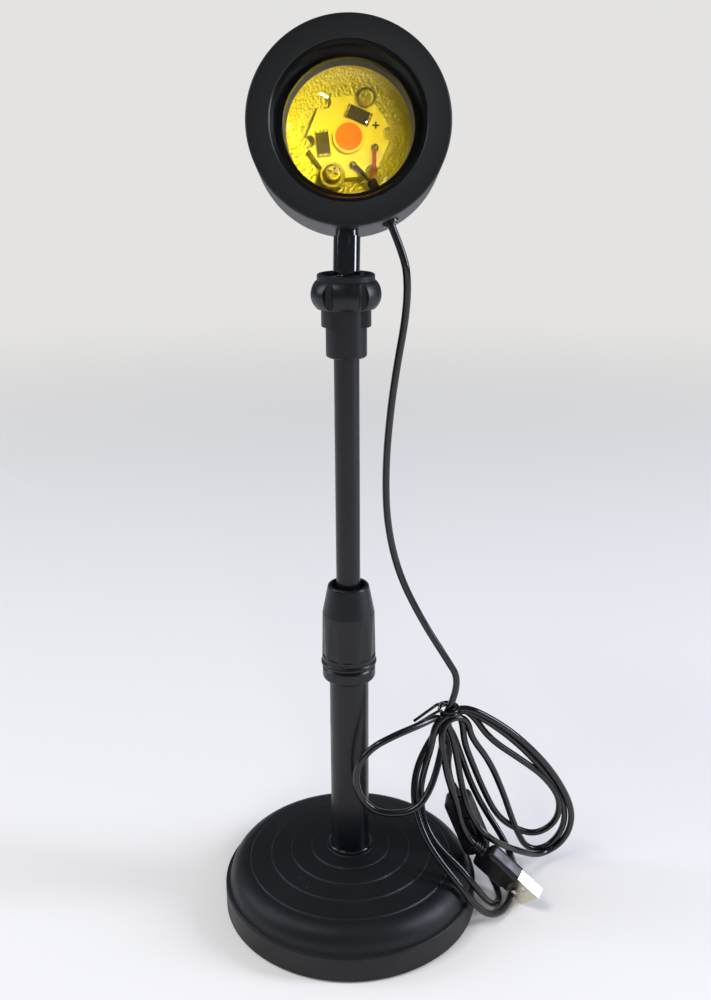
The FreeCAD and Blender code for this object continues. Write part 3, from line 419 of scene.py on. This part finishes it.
# zinc-plated steel: pale, slightly yellow, with fine uneven tarnish
zinc_steel, tree, shader, place = new_finish("zinc_plated_steel", {
    "Base Color": linear("#d8d6c8"), "Metallic": 1.0})
tarnish = add(tree, "ShaderNodeTexNoise", {"Vector": place, "Scale": 1000 / 1.2, "Detail": 4.0})
dull = add(tree, "ShaderNodeMapRange", {"Value": tarnish.outputs["Fac"], "To Min": 0.24, "To Max": 0.46})
tree.links.new(dull.outputs["Result"], shader.inputs["Roughness"])
dress(zinc_steel, "base_washer", "base_bolt", "stem_nut", "board_screws", "filter_clip", "rear_screws")

# ---------------------------------------------------------------- pole
# Two drawn steel tubes with a satin black enamel, baked on. The upper one slides
# in the lower one, with a nylon bush at its foot; a collar of gloss ABS covers
# the hole in the base.
tube_enamel, tree, shader, place = new_finish("baked_satin_enamel", {
    "Base Color": linear("#0a0b11"), "IOR": 1.52, "Specular IOR Level": 0.3,
    "Coat Weight": 0.12, "Coat Roughness": 0.18})
# baked enamel: blue-black, a soft even gloss with a slight orange peel
peel = add(tree, "ShaderNodeTexNoise", {"Vector": place, "Scale": 1000 / 0.8, "Detail": 2.0})
skin = add(tree, "ShaderNodeBump", {"Height": peel.outputs["Fac"], "Strength": 0.12, "Distance": 0.00006})
tree.links.new(skin.outputs["Normal"], shader.inputs["Normal"])
rub = add(tree, "ShaderNodeTexNoise", {"Vector": place, "Scale": 1000 / 11.0, "Detail": 5.0})
dull = add(tree, "ShaderNodeMapRange", {"Value": rub.outputs["Fac"], "From Min": 0.3, "From Max": 0.7,
                                         "To Min": 0.24, "To Max": 0.38})
tree.links.new(dull.outputs["Result"], shader.inputs["Roughness"])
dress(tube_enamel, "lower_tube", "upper_tube")
dress(trim_plastic, "tube_foot_collar")

# natural nylon: milky, slightly waxy
nylon, tree, shader, place = new_finish("natural_nylon", {
    "Roughness": 0.42, "IOR": 1.53, "Subsurface Weight": 0.15, "Subsurface Scale": 0.001})
milk = add(tree, "ShaderNodeTexNoise", {"Vector": place, "Scale": 1000 / 2.0, "Detail": 2.0})
tone = add(tree, "ShaderNodeMix", {0: milk.outputs["Fac"], 6: linear("#d3cfc1"), 7: linear("#e3dfd3")},
           data_type="RGBA")
tree.links.new(tone.outputs[2], shader.inputs["Base Color"])
dress(nylon, "slide_bush", "clutch_collet")

# ---------------------------------------------------------------- clutch and ball joint
# The twist clutch, the ball's socket and the lobed lock nut are moulded in black
# ABS with a satin finish, as is the plug in the foot of the tube. The clutch and
# the nut are gripped by hand, so they are a little polished on their ridges.
satin_abs, tree, shader, place = new_finish("satin_moulded_abs", {
    "Base Color": linear("#0b0c10"), "IOR": 1.54, "Specular IOR Level": 0.35})
# satin ABS: soft, slightly blue lights over a very fine grain
grain = add(tree, "ShaderNodeTexNoise", {"Vector": place, "Scale": 1000 / 0.25, "Detail": 2.0})
skin = add(tree, "ShaderNodeBump", {"Height": grain.outputs["Fac"], "Strength": 0.18, "Distance": 0.00005})
tree.links.new(skin.outputs["Normal"], shader.inputs["Normal"])
touch = add(tree, "ShaderNodeTexNoise", {"Vector": place, "Scale": 1000 / 6.0, "Detail": 4.0})
dull = add(tree, "ShaderNodeMapRange", {"Value": touch.outputs["Fac"], "From Min": 0.3, "From Max": 0.7,
                                         "To Min": 0.29, "To Max": 0.43})
tree.links.new(dull.outputs["Result"], shader.inputs["Roughness"])
dress(satin_abs, "clutch_body", "clutch_sleeve", "tube_end_plug", "ball_socket", "lock_nut")

# ---------------------------------------------------------------- stem
# A turned steel ball stud, painted gloss black, screwed into the casing through
# a small moulded collar.
stud_paint, tree, shader, place = new_finish("gloss_black_lacquer", {
    "Base Color": linear("#0a0a0c"), "IOR": 1.5, "Coat Weight": 0.5, "Coat Roughness": 0.04})
# lacquer over turned steel: a sharp narrow light, with hairlines round the bar
lines = add(tree, "ShaderNodeTexNoise", {
    "Vector": add(tree, "ShaderNodeMapping", {"Vector": place, "Scale": (1, 1, 40)}).outputs[0],
    "Scale": 1000 / 8.0, "Detail": 3.0})
dull = add(tree, "ShaderNodeMapRange", {"Value": lines.outputs["Fac"], "To Min": 0.07, "To Max": 0.16})
tree.links.new(dull.outputs["Result"], shader.inputs["Roughness"])
dress(stud_paint, "ball_stud")
dress(trim_plastic, "stem_collar")

# ---------------------------------------------------------------- head casing
# The casing is a short aluminium tube with a vented cap at the back, both painted
# dark grey. A flat ring of black anodised aluminium closes the front, and its
# stepped funnel leads down to the lens.
head_place = (
    Matrix.Translation((0, 0, 0.247))
    @ Matrix.Rotation(math.radians(1.3), 4, "Y")
    @ Matrix.Rotation(math.radians(-12.5), 4, "X")
    @ Matrix.Translation((0, -0.011, 0.0554))
    @ Matrix.Rotation(math.radians(-90), 4, "X")
)
head_middle = head_place.translation
head_axis = (head_place.to_3x3() @ Vector((0, 0, 1))).normalized()

# sprayed paint with a fine drawn texture: grey, dull, with hairlines along the
# casing, 0.4 mm apart
casing_paint, tree, shader, place = new_finish("sprayed_grey_paint", {
    "Roughness": 0.45, "IOR": 1.5})
hair = add(tree, "ShaderNodeTexNoise", {
    "Vector": add(tree, "ShaderNodeMapping", {"Vector": place, "Scale": (1, 0.06, 0.3)}).outputs[0],
    "Scale": 1000 / 0.4, "Detail": 3.0})
skin = add(tree, "ShaderNodeBump", {"Height": hair.outputs["Fac"], "Strength": 0.3, "Distance": 0.00008})
tree.links.new(skin.outputs["Normal"], shader.inputs["Normal"])
tone = add(tree, "ShaderNodeMix", {0: hair.outputs["Fac"], 6: linear("#191b1d"), 7: linear("#25272a")},
           data_type="RGBA")
tree.links.new(tone.outputs[2], shader.inputs["Base Color"])
dress(casing_paint, "barrel", "rear_cover")

# black anodising over a bead-blasted face, matt and even; the funnel was turned
# bright before it was anodised, so it is glossy
anodised, tree, shader, place = new_finish("black_anodised_aluminium", {
    "Metallic": 0.35})
off = add(tree, "ShaderNodeVectorMath", {0: place, 1: head_middle}, operation="SUBTRACT")
side = add(tree, "ShaderNodeVectorMath", {0: off.outputs[0], 1: head_axis}, operation="CROSS_PRODUCT")
radius = add(tree, "ShaderNodeVectorMath", {0: side.outputs[0]}, operation="LENGTH")
funnel_r = 0.0260         # where the flat face begins
funnel_edge = 0.0003      # how wide the change from gloss to matt is
flat = add(tree, "ShaderNodeMapRange", {"Value": radius.outputs["Value"], "From Min": funnel_r,
                                         "From Max": funnel_r + funnel_edge})
beads = add(tree, "ShaderNodeTexNoise", {"Vector": place, "Scale": 1000 / 0.25, "Detail": 2.0})
matt = add(tree, "ShaderNodeMapRange", {"Value": beads.outputs["Fac"], "To Min": 0.42, "To Max": 0.6})
gloss = add(tree, "ShaderNodeMix", {0: flat.outputs["Result"], 2: 0.16, 3: matt.outputs["Result"]})
tree.links.new(gloss.outputs[0], shader.inputs["Roughness"])
tone = add(tree, "ShaderNodeMix", {0: flat.outputs["Result"], 6: linear("#050606"), 7: linear("#0b0e0f")},
           data_type="RGBA")
tree.links.new(tone.outputs[2], shader.inputs["Base Color"])
depth = add(tree, "ShaderNodeMath", {0: flat.outputs["Result"], 1: 0.22}, operation="MULTIPLY")
skin = add(tree, "ShaderNodeBump", {"Height": beads.outputs["Fac"], "Strength": depth.outputs[0],
                                    "Distance": 0.00006})
tree.links.new(skin.outputs["Normal"], shader.inputs["Normal"])
dress(anodised, "bezel_ring")

# nylon filled with glass: dark grey, half glossy; its colour is painted a lighter grey than the
# real part, a painted reflection of the lamps on its wall, so that it shows as a grey rim through the edge
# of the lens
holder_nylon_painted_reflection, tree, shader, place = new_finish("glass_filled_nylon_painted_reflection", {
    "Roughness": 0.28, "IOR": 1.53})
fibre = add(tree, "ShaderNodeTexNoise", {"Vector": place, "Scale": 1000 / 0.8, "Detail": 3.0})
# painted reflection: the two greys are lighter than the holder's own dark grey, standing in for lamplight
# mirrored on its wall
tone = add(tree, "ShaderNodeMix", {0: fibre.outputs["Fac"], 6: linear("#3a3b3a"), 7: linear("#5c5d5b")},
           data_type="RGBA")
tree.links.new(tone.outputs[2], shader.inputs["Base Color"])
dress(holder_nylon_painted_reflection, "filter_holder")

# ---------------------------------------------------------------- lens
# A thick plano-convex lens, ground and polished from crown glass, sits in the
# holder behind the funnel. Its edge is ground matt in the real one and is hidden.
lens_r = 0.0234
lens_curve_r = 0.0300
lens_front = 0.0020
lens_back = 0.0140
lens_chamfer = 0.0003
lens_sides = 96

profile = []
for k in range(25):
    lean = math.asin(lens_r / lens_curve_r) * k / 24
    profile.append((lens_curve_r * math.sin(lean), lens_front + lens_curve_r * (1 - math.cos(lean))))
profile += [(lens_r, profile[-1][1] + 0.0002), (lens_r, lens_back - lens_chamfer),
            (lens_r - lens_chamfer, lens_back)]
profile += [(lens_r * (1 - k / 8), lens_back) for k in range(1, 9)]
mesh = bmesh.new()
loops = []
for radius, depth in profile:
    if radius < 1e-6:
        loops.append([mesh.verts.new((0, 0, depth))])
    else:
        loops.append([
            mesh.verts.new((radius * math.cos(a), radius * math.sin(a), depth))
            for a in (2 * math.pi * n / lens_sides for n in range(lens_sides))
        ])
for near, far in zip(loops, loops[1:]):
    for n in range(lens_sides):
        m = (n + 1) % lens_sides
        corners = [near[n % len(near)], near[m % len(near)], far[m % len(far)], far[n % len(far)]]
        mesh.faces.new(list(dict.fromkeys(corners)))
bmesh.ops.recalc_face_normals(mesh, faces=mesh.faces)
mesh.transform(head_place)
lens_mesh = bpy.data.meshes.new("projection_lens")
mesh.to_mesh(lens_mesh)
mesh.free()
lens_mesh.shade_smooth()
lens_mesh.set_sharp_from_angle(angle=math.radians(35))
lens = bpy.data.objects.new("projection_lens", lens_mesh)
bpy.context.scene.collection.objects.link(lens)

# polished crown glass: clear, with sharp reflections; its shadow is left clear,
# so that the lamps reach the board behind it, as daylight does
crown_glass, tree, shader, place = new_finish("polished_crown_glass", {
    "Base Color": linear("#fafcfb"), "IOR": 1.52, "Transmission Weight": 1.0})
smear = add(tree, "ShaderNodeTexNoise", {"Vector": place, "Scale": 1000 / 5.0, "Detail": 4.0})
haze = add(tree, "ShaderNodeMapRange", {"Value": smear.outputs["Fac"], "From Min": 0.5, "From Max": 0.8,
                                         "To Min": 0.0, "To Max": 0.006})
tree.links.new(haze.outputs["Result"], shader.inputs["Roughness"])
path = add(tree, "ShaderNodeLightPath", {})
clear = add(tree, "ShaderNodeBsdfTransparent", {"Color": linear("#f4f6f5")})
through = add(tree, "ShaderNodeMixShader", {0: path.outputs["Is Shadow Ray"], 1: shader.outputs[0],
                                             2: clear.outputs[0]})
tree.links.new(through.outputs[0], tree.nodes["Material Output"].inputs["Surface"])
lens_mesh.materials.append(crown_glass)
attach(lens, "head")
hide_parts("lens")

# ---------------------------------------------------------------- filter
# The disc that colours the light is plain glass with a yellow coating. A steel
# spring ring clips it into the holder.
coated_glass, tree, shader, place = new_finish("yellow_coated_glass", {
    "Roughness": 0.02, "IOR": 1.5, "Transmission Weight": 1.0})
fleck = add(tree, "ShaderNodeTexNoise", {"Vector": place, "Scale": 1000 / 1.4, "Detail": 5.0})
tone = add(tree, "ShaderNodeMix", {0: fleck.outputs["Fac"], 6: linear("#fbdf30"), 7: linear("#ffea50")},
           data_type="RGBA")
tree.links.new(tone.outputs[2], shader.inputs["Base Color"])
path = add(tree, "ShaderNodeLightPath", {})
clear = add(tree, "ShaderNodeBsdfTransparent", {"Color": linear("#fffbe8")})
through = add(tree, "ShaderNodeMixShader", {0: path.outputs["Is Shadow Ray"], 1: shader.outputs[0],
                                             2: clear.outputs[0]})
tree.links.new(through.outputs[0], tree.nodes["Material Output"].inputs["Surface"])
dress(coated_glass, "colour_filter")

# ---------------------------------------------------------------- light source
# A six-sided aluminium board with a white solder mask is screwed to a plate that
# takes its heat. It carries one light source under orange silicone, two chip
# resistors and two solder joints.
board_front = 0.0234
board_turn = 6.5          # degrees

# solder mask: white, smooth, with the faint weave of the screen it was printed
# through
solder_mask, tree, shader, place = new_finish("white_solder_mask", {
    "Roughness": 0.32, "IOR": 1.5})
print_weave = add(tree, "ShaderNodeTexNoise", {"Vector": place, "Scale": 1000 / 0.5, "Detail": 2.0})
tone = add(tree, "ShaderNodeMix", {0: print_weave.outputs["Fac"], 6: linear("#ecebe1"),
                                    7: linear("#f8f7f1")}, data_type="RGBA")
tree.links.new(tone.outputs[2], shader.inputs["Base Color"])
dress(solder_mask, "led_board")

# pressed aluminium: bright, with the coarse sparkle of its etched grain
etched_aluminium, tree, shader, place = new_finish("etched_aluminium", {
    "Base Color": linear("#dedfdd"), "Metallic": 1.0, "Roughness": 0.38})
etch = add(tree, "ShaderNodeTexVoronoi", {"Vector": place, "Scale": 1000 / 0.7})
skin = add(tree, "ShaderNodeBump", {"Height": etch.outputs["Distance"], "Strength": 0.55,
                                    "Distance": 0.0003})
tree.links.new(skin.outputs["Normal"], shader.inputs["Normal"])
dress(etched_aluminium, "heat_plate")

# glazed ceramic: pale cream, a little gloss
ceramic, tree, shader, place = new_finish("glazed_ceramic", {
    "Base Color": linear("#efe8c8"), "IOR": 1.6})
glaze = add(tree, "ShaderNodeTexNoise", {"Vector": place, "Scale": 1000 / 0.6, "Detail": 2.0})
dull = add(tree, "ShaderNodeMapRange", {"Value": glaze.outputs["Fac"], "To Min": 0.22, "To Max": 0.4})
tree.links.new(dull.outputs["Result"], shader.inputs["Roughness"])
dress(ceramic, "led_package")

# phosphor in silicone: deep orange, matt, with the powder just visible
phosphor, tree, shader, place = new_finish("phosphor_silicone", {
    "Roughness": 0.6, "IOR": 1.41})
powder = add(tree, "ShaderNodeTexNoise", {"Vector": place, "Scale": 1000 / 0.3, "Detail": 3.0})
tone = add(tree, "ShaderNodeMix", {0: powder.outputs["Fac"], 6: linear("#e6700c"), 7: linear("#f48c26")},
           data_type="RGBA")
tree.links.new(tone.outputs[2], shader.inputs["Base Color"])
dress(phosphor, "led_phosphor")

# the resistors: a dark glaze on ceramic, with tinned ends
resistor_glaze, tree, shader, place = new_finish("resistor_glaze", {
    "Roughness": 0.35, "IOR": 1.55})
mottle = add(tree, "ShaderNodeTexNoise", {"Vector": place, "Scale": 1000 / 0.8, "Detail": 3.0})
tone = add(tree, "ShaderNodeMix", {0: mottle.outputs["Fac"], 6: linear("#1c1512"), 7: linear("#30261f")},
           data_type="RGBA")
tree.links.new(tone.outputs[2], shader.inputs["Base Color"])
dress(resistor_glaze, "chip_resistors")

# tin solder: bright and smooth, with a soft crystal pattern
solder, tree, shader, place = new_finish("tin_solder", {
    "Base Color": linear("#cfd0cf"), "Metallic": 1.0})
crystal = add(tree, "ShaderNodeTexVoronoi", {"Vector": place, "Scale": 1000 / 0.5})
dull = add(tree, "ShaderNodeMapRange", {"Value": crystal.outputs["Distance"], "To Min": 0.16,
                                         "To Max": 0.36})
tree.links.new(dull.outputs["Result"], shader.inputs["Roughness"])
dress(solder, "solder_joints")

# wire insulation: PVC, one red and one black, with a slight gloss
for colour, node in (("#96280c", "wire_red"), ("#0d0d0e", "wire_black")):
    insulation, tree, shader, place = new_finish(node + "_pvc", {
        "Base Color": linear(colour), "IOR": 1.53})
    draw = add(tree, "ShaderNodeTexNoise", {"Vector": place, "Scale": 1000 / 0.7, "Detail": 2.0})
    dull = add(tree, "ShaderNodeMapRange", {"Value": draw.outputs["Fac"], "To Min": 0.26, "To Max": 0.44})
    tree.links.new(dull.outputs["Result"], shader.inputs["Roughness"])
    dress(insulation, node)
dress(cord_pvc, "wire_sleeve", "cord_grommet")

# The tinned ends of the resistors, the plus mark by the red wire's joint, and
# the flat washer under the lower screw.
resistor_places = ((-0.0064, -0.0016, -7), (0.00234, 0.00525, -68))
resistor_half = 0.00285
end_size = (0.00332, 0.0007, 0.00072, 1)
end_sink = 0.0003
tin_ends = bmesh.new()
for right, up, turn in resistor_places:
    lie = (Matrix.Translation((right, -up, board_front - end_sink))
           @ Matrix.Rotation(math.radians(turn), 4, "Z"))
    for end in (-resistor_half, resistor_half):
        bmesh.ops.create_cube(tin_ends, size=1.0, matrix=lie @ Matrix.Translation((0, end, 0))
                              @ Matrix.Diagonal(end_size))
bmesh.ops.bevel(tin_ends, geom=tin_ends.edges[:], offset=0.00008, segments=2, affect="EDGES")

plus_long = 0.0017
plus_thin = 0.0004
print_thick = 0.00005
plus_place = Matrix.Translation((0.0066, -0.0030, board_front - 0.00003))
plus_mark = bmesh.new()
for wide, high in ((plus_long, plus_thin), (plus_thin, plus_long)):
    bmesh.ops.create_cube(plus_mark, size=1.0,
                          matrix=plus_place @ Matrix.Diagonal((wide, high, print_thick, 1)))

screw_off = 0.0102        # from the middle of the board
screw_turn = math.radians(board_turn + 240)
screw_at = Vector((screw_off * math.cos(screw_turn), -screw_off * math.sin(screw_turn), board_front))
washer_outline = ((0.0024, 0.0), (0.0024, 0.0003), (0.0032, 0.0003), (0.00335, 0.00015), (0.00335, 0.0))
washer_sides = 48
washer = bmesh.new()
rings = []
for radius, lift in washer_outline:
    rings.append([
        washer.verts.new(screw_at + Vector((radius * math.cos(a), radius * math.sin(a), -lift)))
        for a in (2 * math.pi * n / washer_sides for n in range(washer_sides))
    ])
for near, far in zip(rings, rings[1:] + rings[:1]):
    for n in range(washer_sides):
        m = (n + 1) % washer_sides
        washer.faces.new((near[n], near[m], far[m], far[n]))

for name, mesh, finish, slot in (("resistor_ends", tin_ends, solder, "solder"),
                                 ("plus_mark", plus_mark, resistor_glaze, "resistor_black"),
                                 ("screw_washer", washer, zinc_steel, "fastener_steel")):
    bmesh.ops.recalc_face_normals(mesh, faces=mesh.faces)
    mesh.transform(head_place)
    data = bpy.data.meshes.new(name)
    mesh.to_mesh(data)
    mesh.free()
    data.materials.append(finish)
    piece = bpy.data.objects.new(name, data)
    bpy.context.scene.collection.objects.link(piece)
    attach(piece, "head")

# ---------------------------------------------------------------- switch
# The in-line switch is two half shells of black ABS, snapped over the cord, with
# a push button between soft strain reliefs. A brass blade and its post are inside.
shell_abs, tree, shader, place = new_finish("fine_grained_abs", {
    "Base Color": linear("#0a0a0c"), "IOR": 1.54})
# grained ABS: black and quiet, with a soft worn light along its edges
grain = add(tree, "ShaderNodeTexNoise", {"Vector": place, "Scale": 1000 / 0.3, "Detail": 2.0})
skin = add(tree, "ShaderNodeBump", {"Height": grain.outputs["Fac"], "Strength": 0.22, "Distance": 0.00005})
tree.links.new(skin.outputs["Normal"], shader.inputs["Normal"])
touch = add(tree, "ShaderNodeTexNoise", {"Vector": place, "Scale": 1000 / 5.0, "Detail": 4.0})
dull = add(tree, "ShaderNodeMapRange", {"Value": touch.outputs["Fac"], "From Min": 0.3, "From Max": 0.7,
                                         "To Min": 0.34, "To Max": 0.5})
tree.links.new(dull.outputs["Result"], shader.inputs["Roughness"])
dress(shell_abs, "switch_top_shell", "switch_bottom_shell")
dress(satin_abs, "switch_button")
dress(cord_pvc, "switch_reliefs")

# rolled brass: warm yellow, with faint lines
brass, tree, shader, place = new_finish("rolled_brass", {
    "Base Color": linear("#d8b25c"), "Metallic": 1.0})
rolled = add(tree, "ShaderNodeTexNoise", {"Vector": place, "Scale": 1000 / 0.4, "Detail": 2.0})
dull = add(tree, "ShaderNodeMapRange", {"Value": rolled.outputs["Fac"], "To Min": 0.18, "To Max": 0.34})
tree.links.new(dull.outputs["Result"], shader.inputs["Roughness"])
dress(brass, "switch_contact", "usb_contacts")

# ---------------------------------------------------------------- plug
# The USB-A plug is moulded onto the cord in PVC. Its shell is folded from
# nickel-plated steel, and a white plastic tongue inside carries four contacts.
dress(shell_abs, "usb_grip")

# nickel plate over rolled steel: warm and pale, with soft rolling lines
nickel, tree, shader, place = new_finish("nickel_plated_steel", {
    "Base Color": linear("#cfc9b4"), "Metallic": 1.0})
rolled = add(tree, "ShaderNodeTexNoise", {"Vector": place, "Scale": 1000 / 0.6, "Detail": 4.0})
dull = add(tree, "ShaderNodeMapRange", {"Value": rolled.outputs["Fac"], "To Min": 0.16, "To Max": 0.36})
tree.links.new(dull.outputs["Result"], shader.inputs["Roughness"])
skin = add(tree, "ShaderNodeBump", {"Height": rolled.outputs["Fac"], "Strength": 0.1, "Distance": 0.00005})
tree.links.new(skin.outputs["Normal"], shader.inputs["Normal"])
dress(nickel, "usb_shell")

# the tongue: white PBT, faintly speckled
tongue_pbt, tree, shader, place = new_finish("white_pbt", {
    "Roughness": 0.45, "IOR": 1.55})
speck = add(tree, "ShaderNodeTexNoise", {"Vector": place, "Scale": 1000 / 0.5, "Detail": 2.0})
tone = add(tree, "ShaderNodeMix", {0: speck.outputs["Fac"], 6: linear("#dddcd5"), 7: linear("#efeee9")},
           data_type="RGBA")
tree.links.new(tone.outputs[2], shader.inputs["Base Color"])
dress(tongue_pbt, "usb_tongue")

# ---------------------------------------------------------------- studio
# A plain pale table top that runs out to white. A window stands to the right and
# another to the left, and soft lamps above and in front fill the shadows.
floor_half = 6.0
floor_mesh = bpy.data.meshes.new("floor")
floor_mesh.from_pydata(
    [(x * floor_half, y * floor_half, 0) for x, y in ((-1, -1), (1, -1), (1, 1), (-1, 1))],
    [], [(0, 1, 2, 3)])
floor = bpy.data.objects.new("floor", floor_mesh)
bpy.context.scene.collection.objects.link(floor)
pale_board = bpy.data.materials.new("pale_table")
pale_board.use_nodes = True
tree = pale_board.node_tree
tree.nodes.clear()
place = add(tree, "ShaderNodeTexCoord", {}).outputs["Object"]
matt = add(tree, "ShaderNodeBsdfDiffuse", {"Color": linear("#dedcd8")})
far = add(tree, "ShaderNodeVectorMath", {0: place}, operation="LENGTH")
fade = add(tree, "ShaderNodeMapRange", {"Value": far.outputs["Value"], "From Min": 0.25,
                                        "From Max": 1.5}, interpolation_type="SMOOTHSTEP")
bright = add(tree, "ShaderNodeEmission", {"Color": linear("#e4e3e1"), "Strength": 1.0})
path = add(tree, "ShaderNodeLightPath", {})
share = add(tree, "ShaderNodeMath", {0: path.outputs["Is Camera Ray"], 1: fade.outputs["Result"]},
            operation="MULTIPLY")
blend = add(tree, "ShaderNodeMixShader", {0: share.outputs[0], 1: matt.outputs[0], 2: bright.outputs[0]})
add(tree, "ShaderNodeOutputMaterial", {"Surface": blend.outputs[0]})
floor_mesh.materials.append(pale_board)

world = bpy.data.worlds.new("studio")
bpy.context.scene.world = world
world.use_nodes = True
tree = world.node_tree
tree.nodes.clear()
path = add(tree, "ShaderNodeLightPath", {})
# glossy pieces and glass meet a dimmer room, so that black stays black
mirror = add(tree, "ShaderNodeMath", {0: path.outputs["Is Glossy Ray"],
                                       1: path.outputs["Is Transmission Ray"]}, operation="MAXIMUM")
wall = add(tree, "ShaderNodeBackground", {"Color": linear("#e4e3e1"), "Strength": 1.0})
level = add(tree, "ShaderNodeMix", {0: mirror.outputs[0], 2: 0.5, 3: 0.2})
fill = add(tree, "ShaderNodeBackground", {"Color": linear("#d5deef"), "Strength": level.outputs[0]})
both = add(tree, "ShaderNodeMixShader", {0: path.outputs["Is Camera Ray"], 1: fill.outputs[0],
                                          2: wall.outputs[0]})
add(tree, "ShaderNodeOutputWorld", {"Surface": both.outputs[0]})


def soft_lamp(name, place, aim, wide, high, power, colour, mirrored):
    """A rectangular soft lamp, which glossy pieces may or may not mirror."""
    data = bpy.data.lights.new(name, "AREA")
    data.shape = "RECTANGLE"
    data.size = wide
    data.size_y = high
    data.energy = power
    data.color = linear(colour)[:3]
    lamp = bpy.data.objects.new(name, data)
    lamp.location = place
    lamp.rotation_euler = (Vector(aim) - Vector(place)).to_track_quat("-Z", "Y").to_euler()
    lamp.visible_glossy = mirrored
    lamp.visible_transmission = mirrored
    bpy.context.scene.collection.objects.link(lamp)


soft_lamp("window", (1.3, -0.15, 0.72), (0, 0, 0.1), 0.35, 0.9, 18, "#e4eaff", True)
soft_lamp("ceiling", (-0.6, -0.5, 1.4), (0, 0, 0.12), 0.9, 0.9, 9, "#fff6ea", False)
soft_lamp("ceiling_strip", (-0.60, -0.34, 1.3), (0, 0, 0.12), 0.45, 0.07, 2.5, "#ffffff", True)
soft_lamp("front_fill", (0.12, -1.5, 0.75), (0, 0, 0.3), 0.5, 0.4, 8, "#fffaf0", False)
soft_lamp("left_window", (-1.3, 0.1, 0.9), (0, 0, 0.15), 0.5, 0.9, 8, "#dfe8ff", True)

# a narrow beam from the upper right lights the board behind the lens
beam_data = bpy.data.lights.new("beam", "SPOT")
beam_data.energy = 78
beam_data.spot_size = math.radians(1.75)
beam_data.spot_blend = 0.25
beam_data.shadow_soft_size = 0.02
beam = bpy.data.objects.new("beam", beam_data)
beam.location = (0.60, -1.26, 0.92)
beam.rotation_euler = (head_middle - beam.location).to_track_quat("-Z", "Y").to_euler()
bpy.context.scene.collection.objects.link(beam)
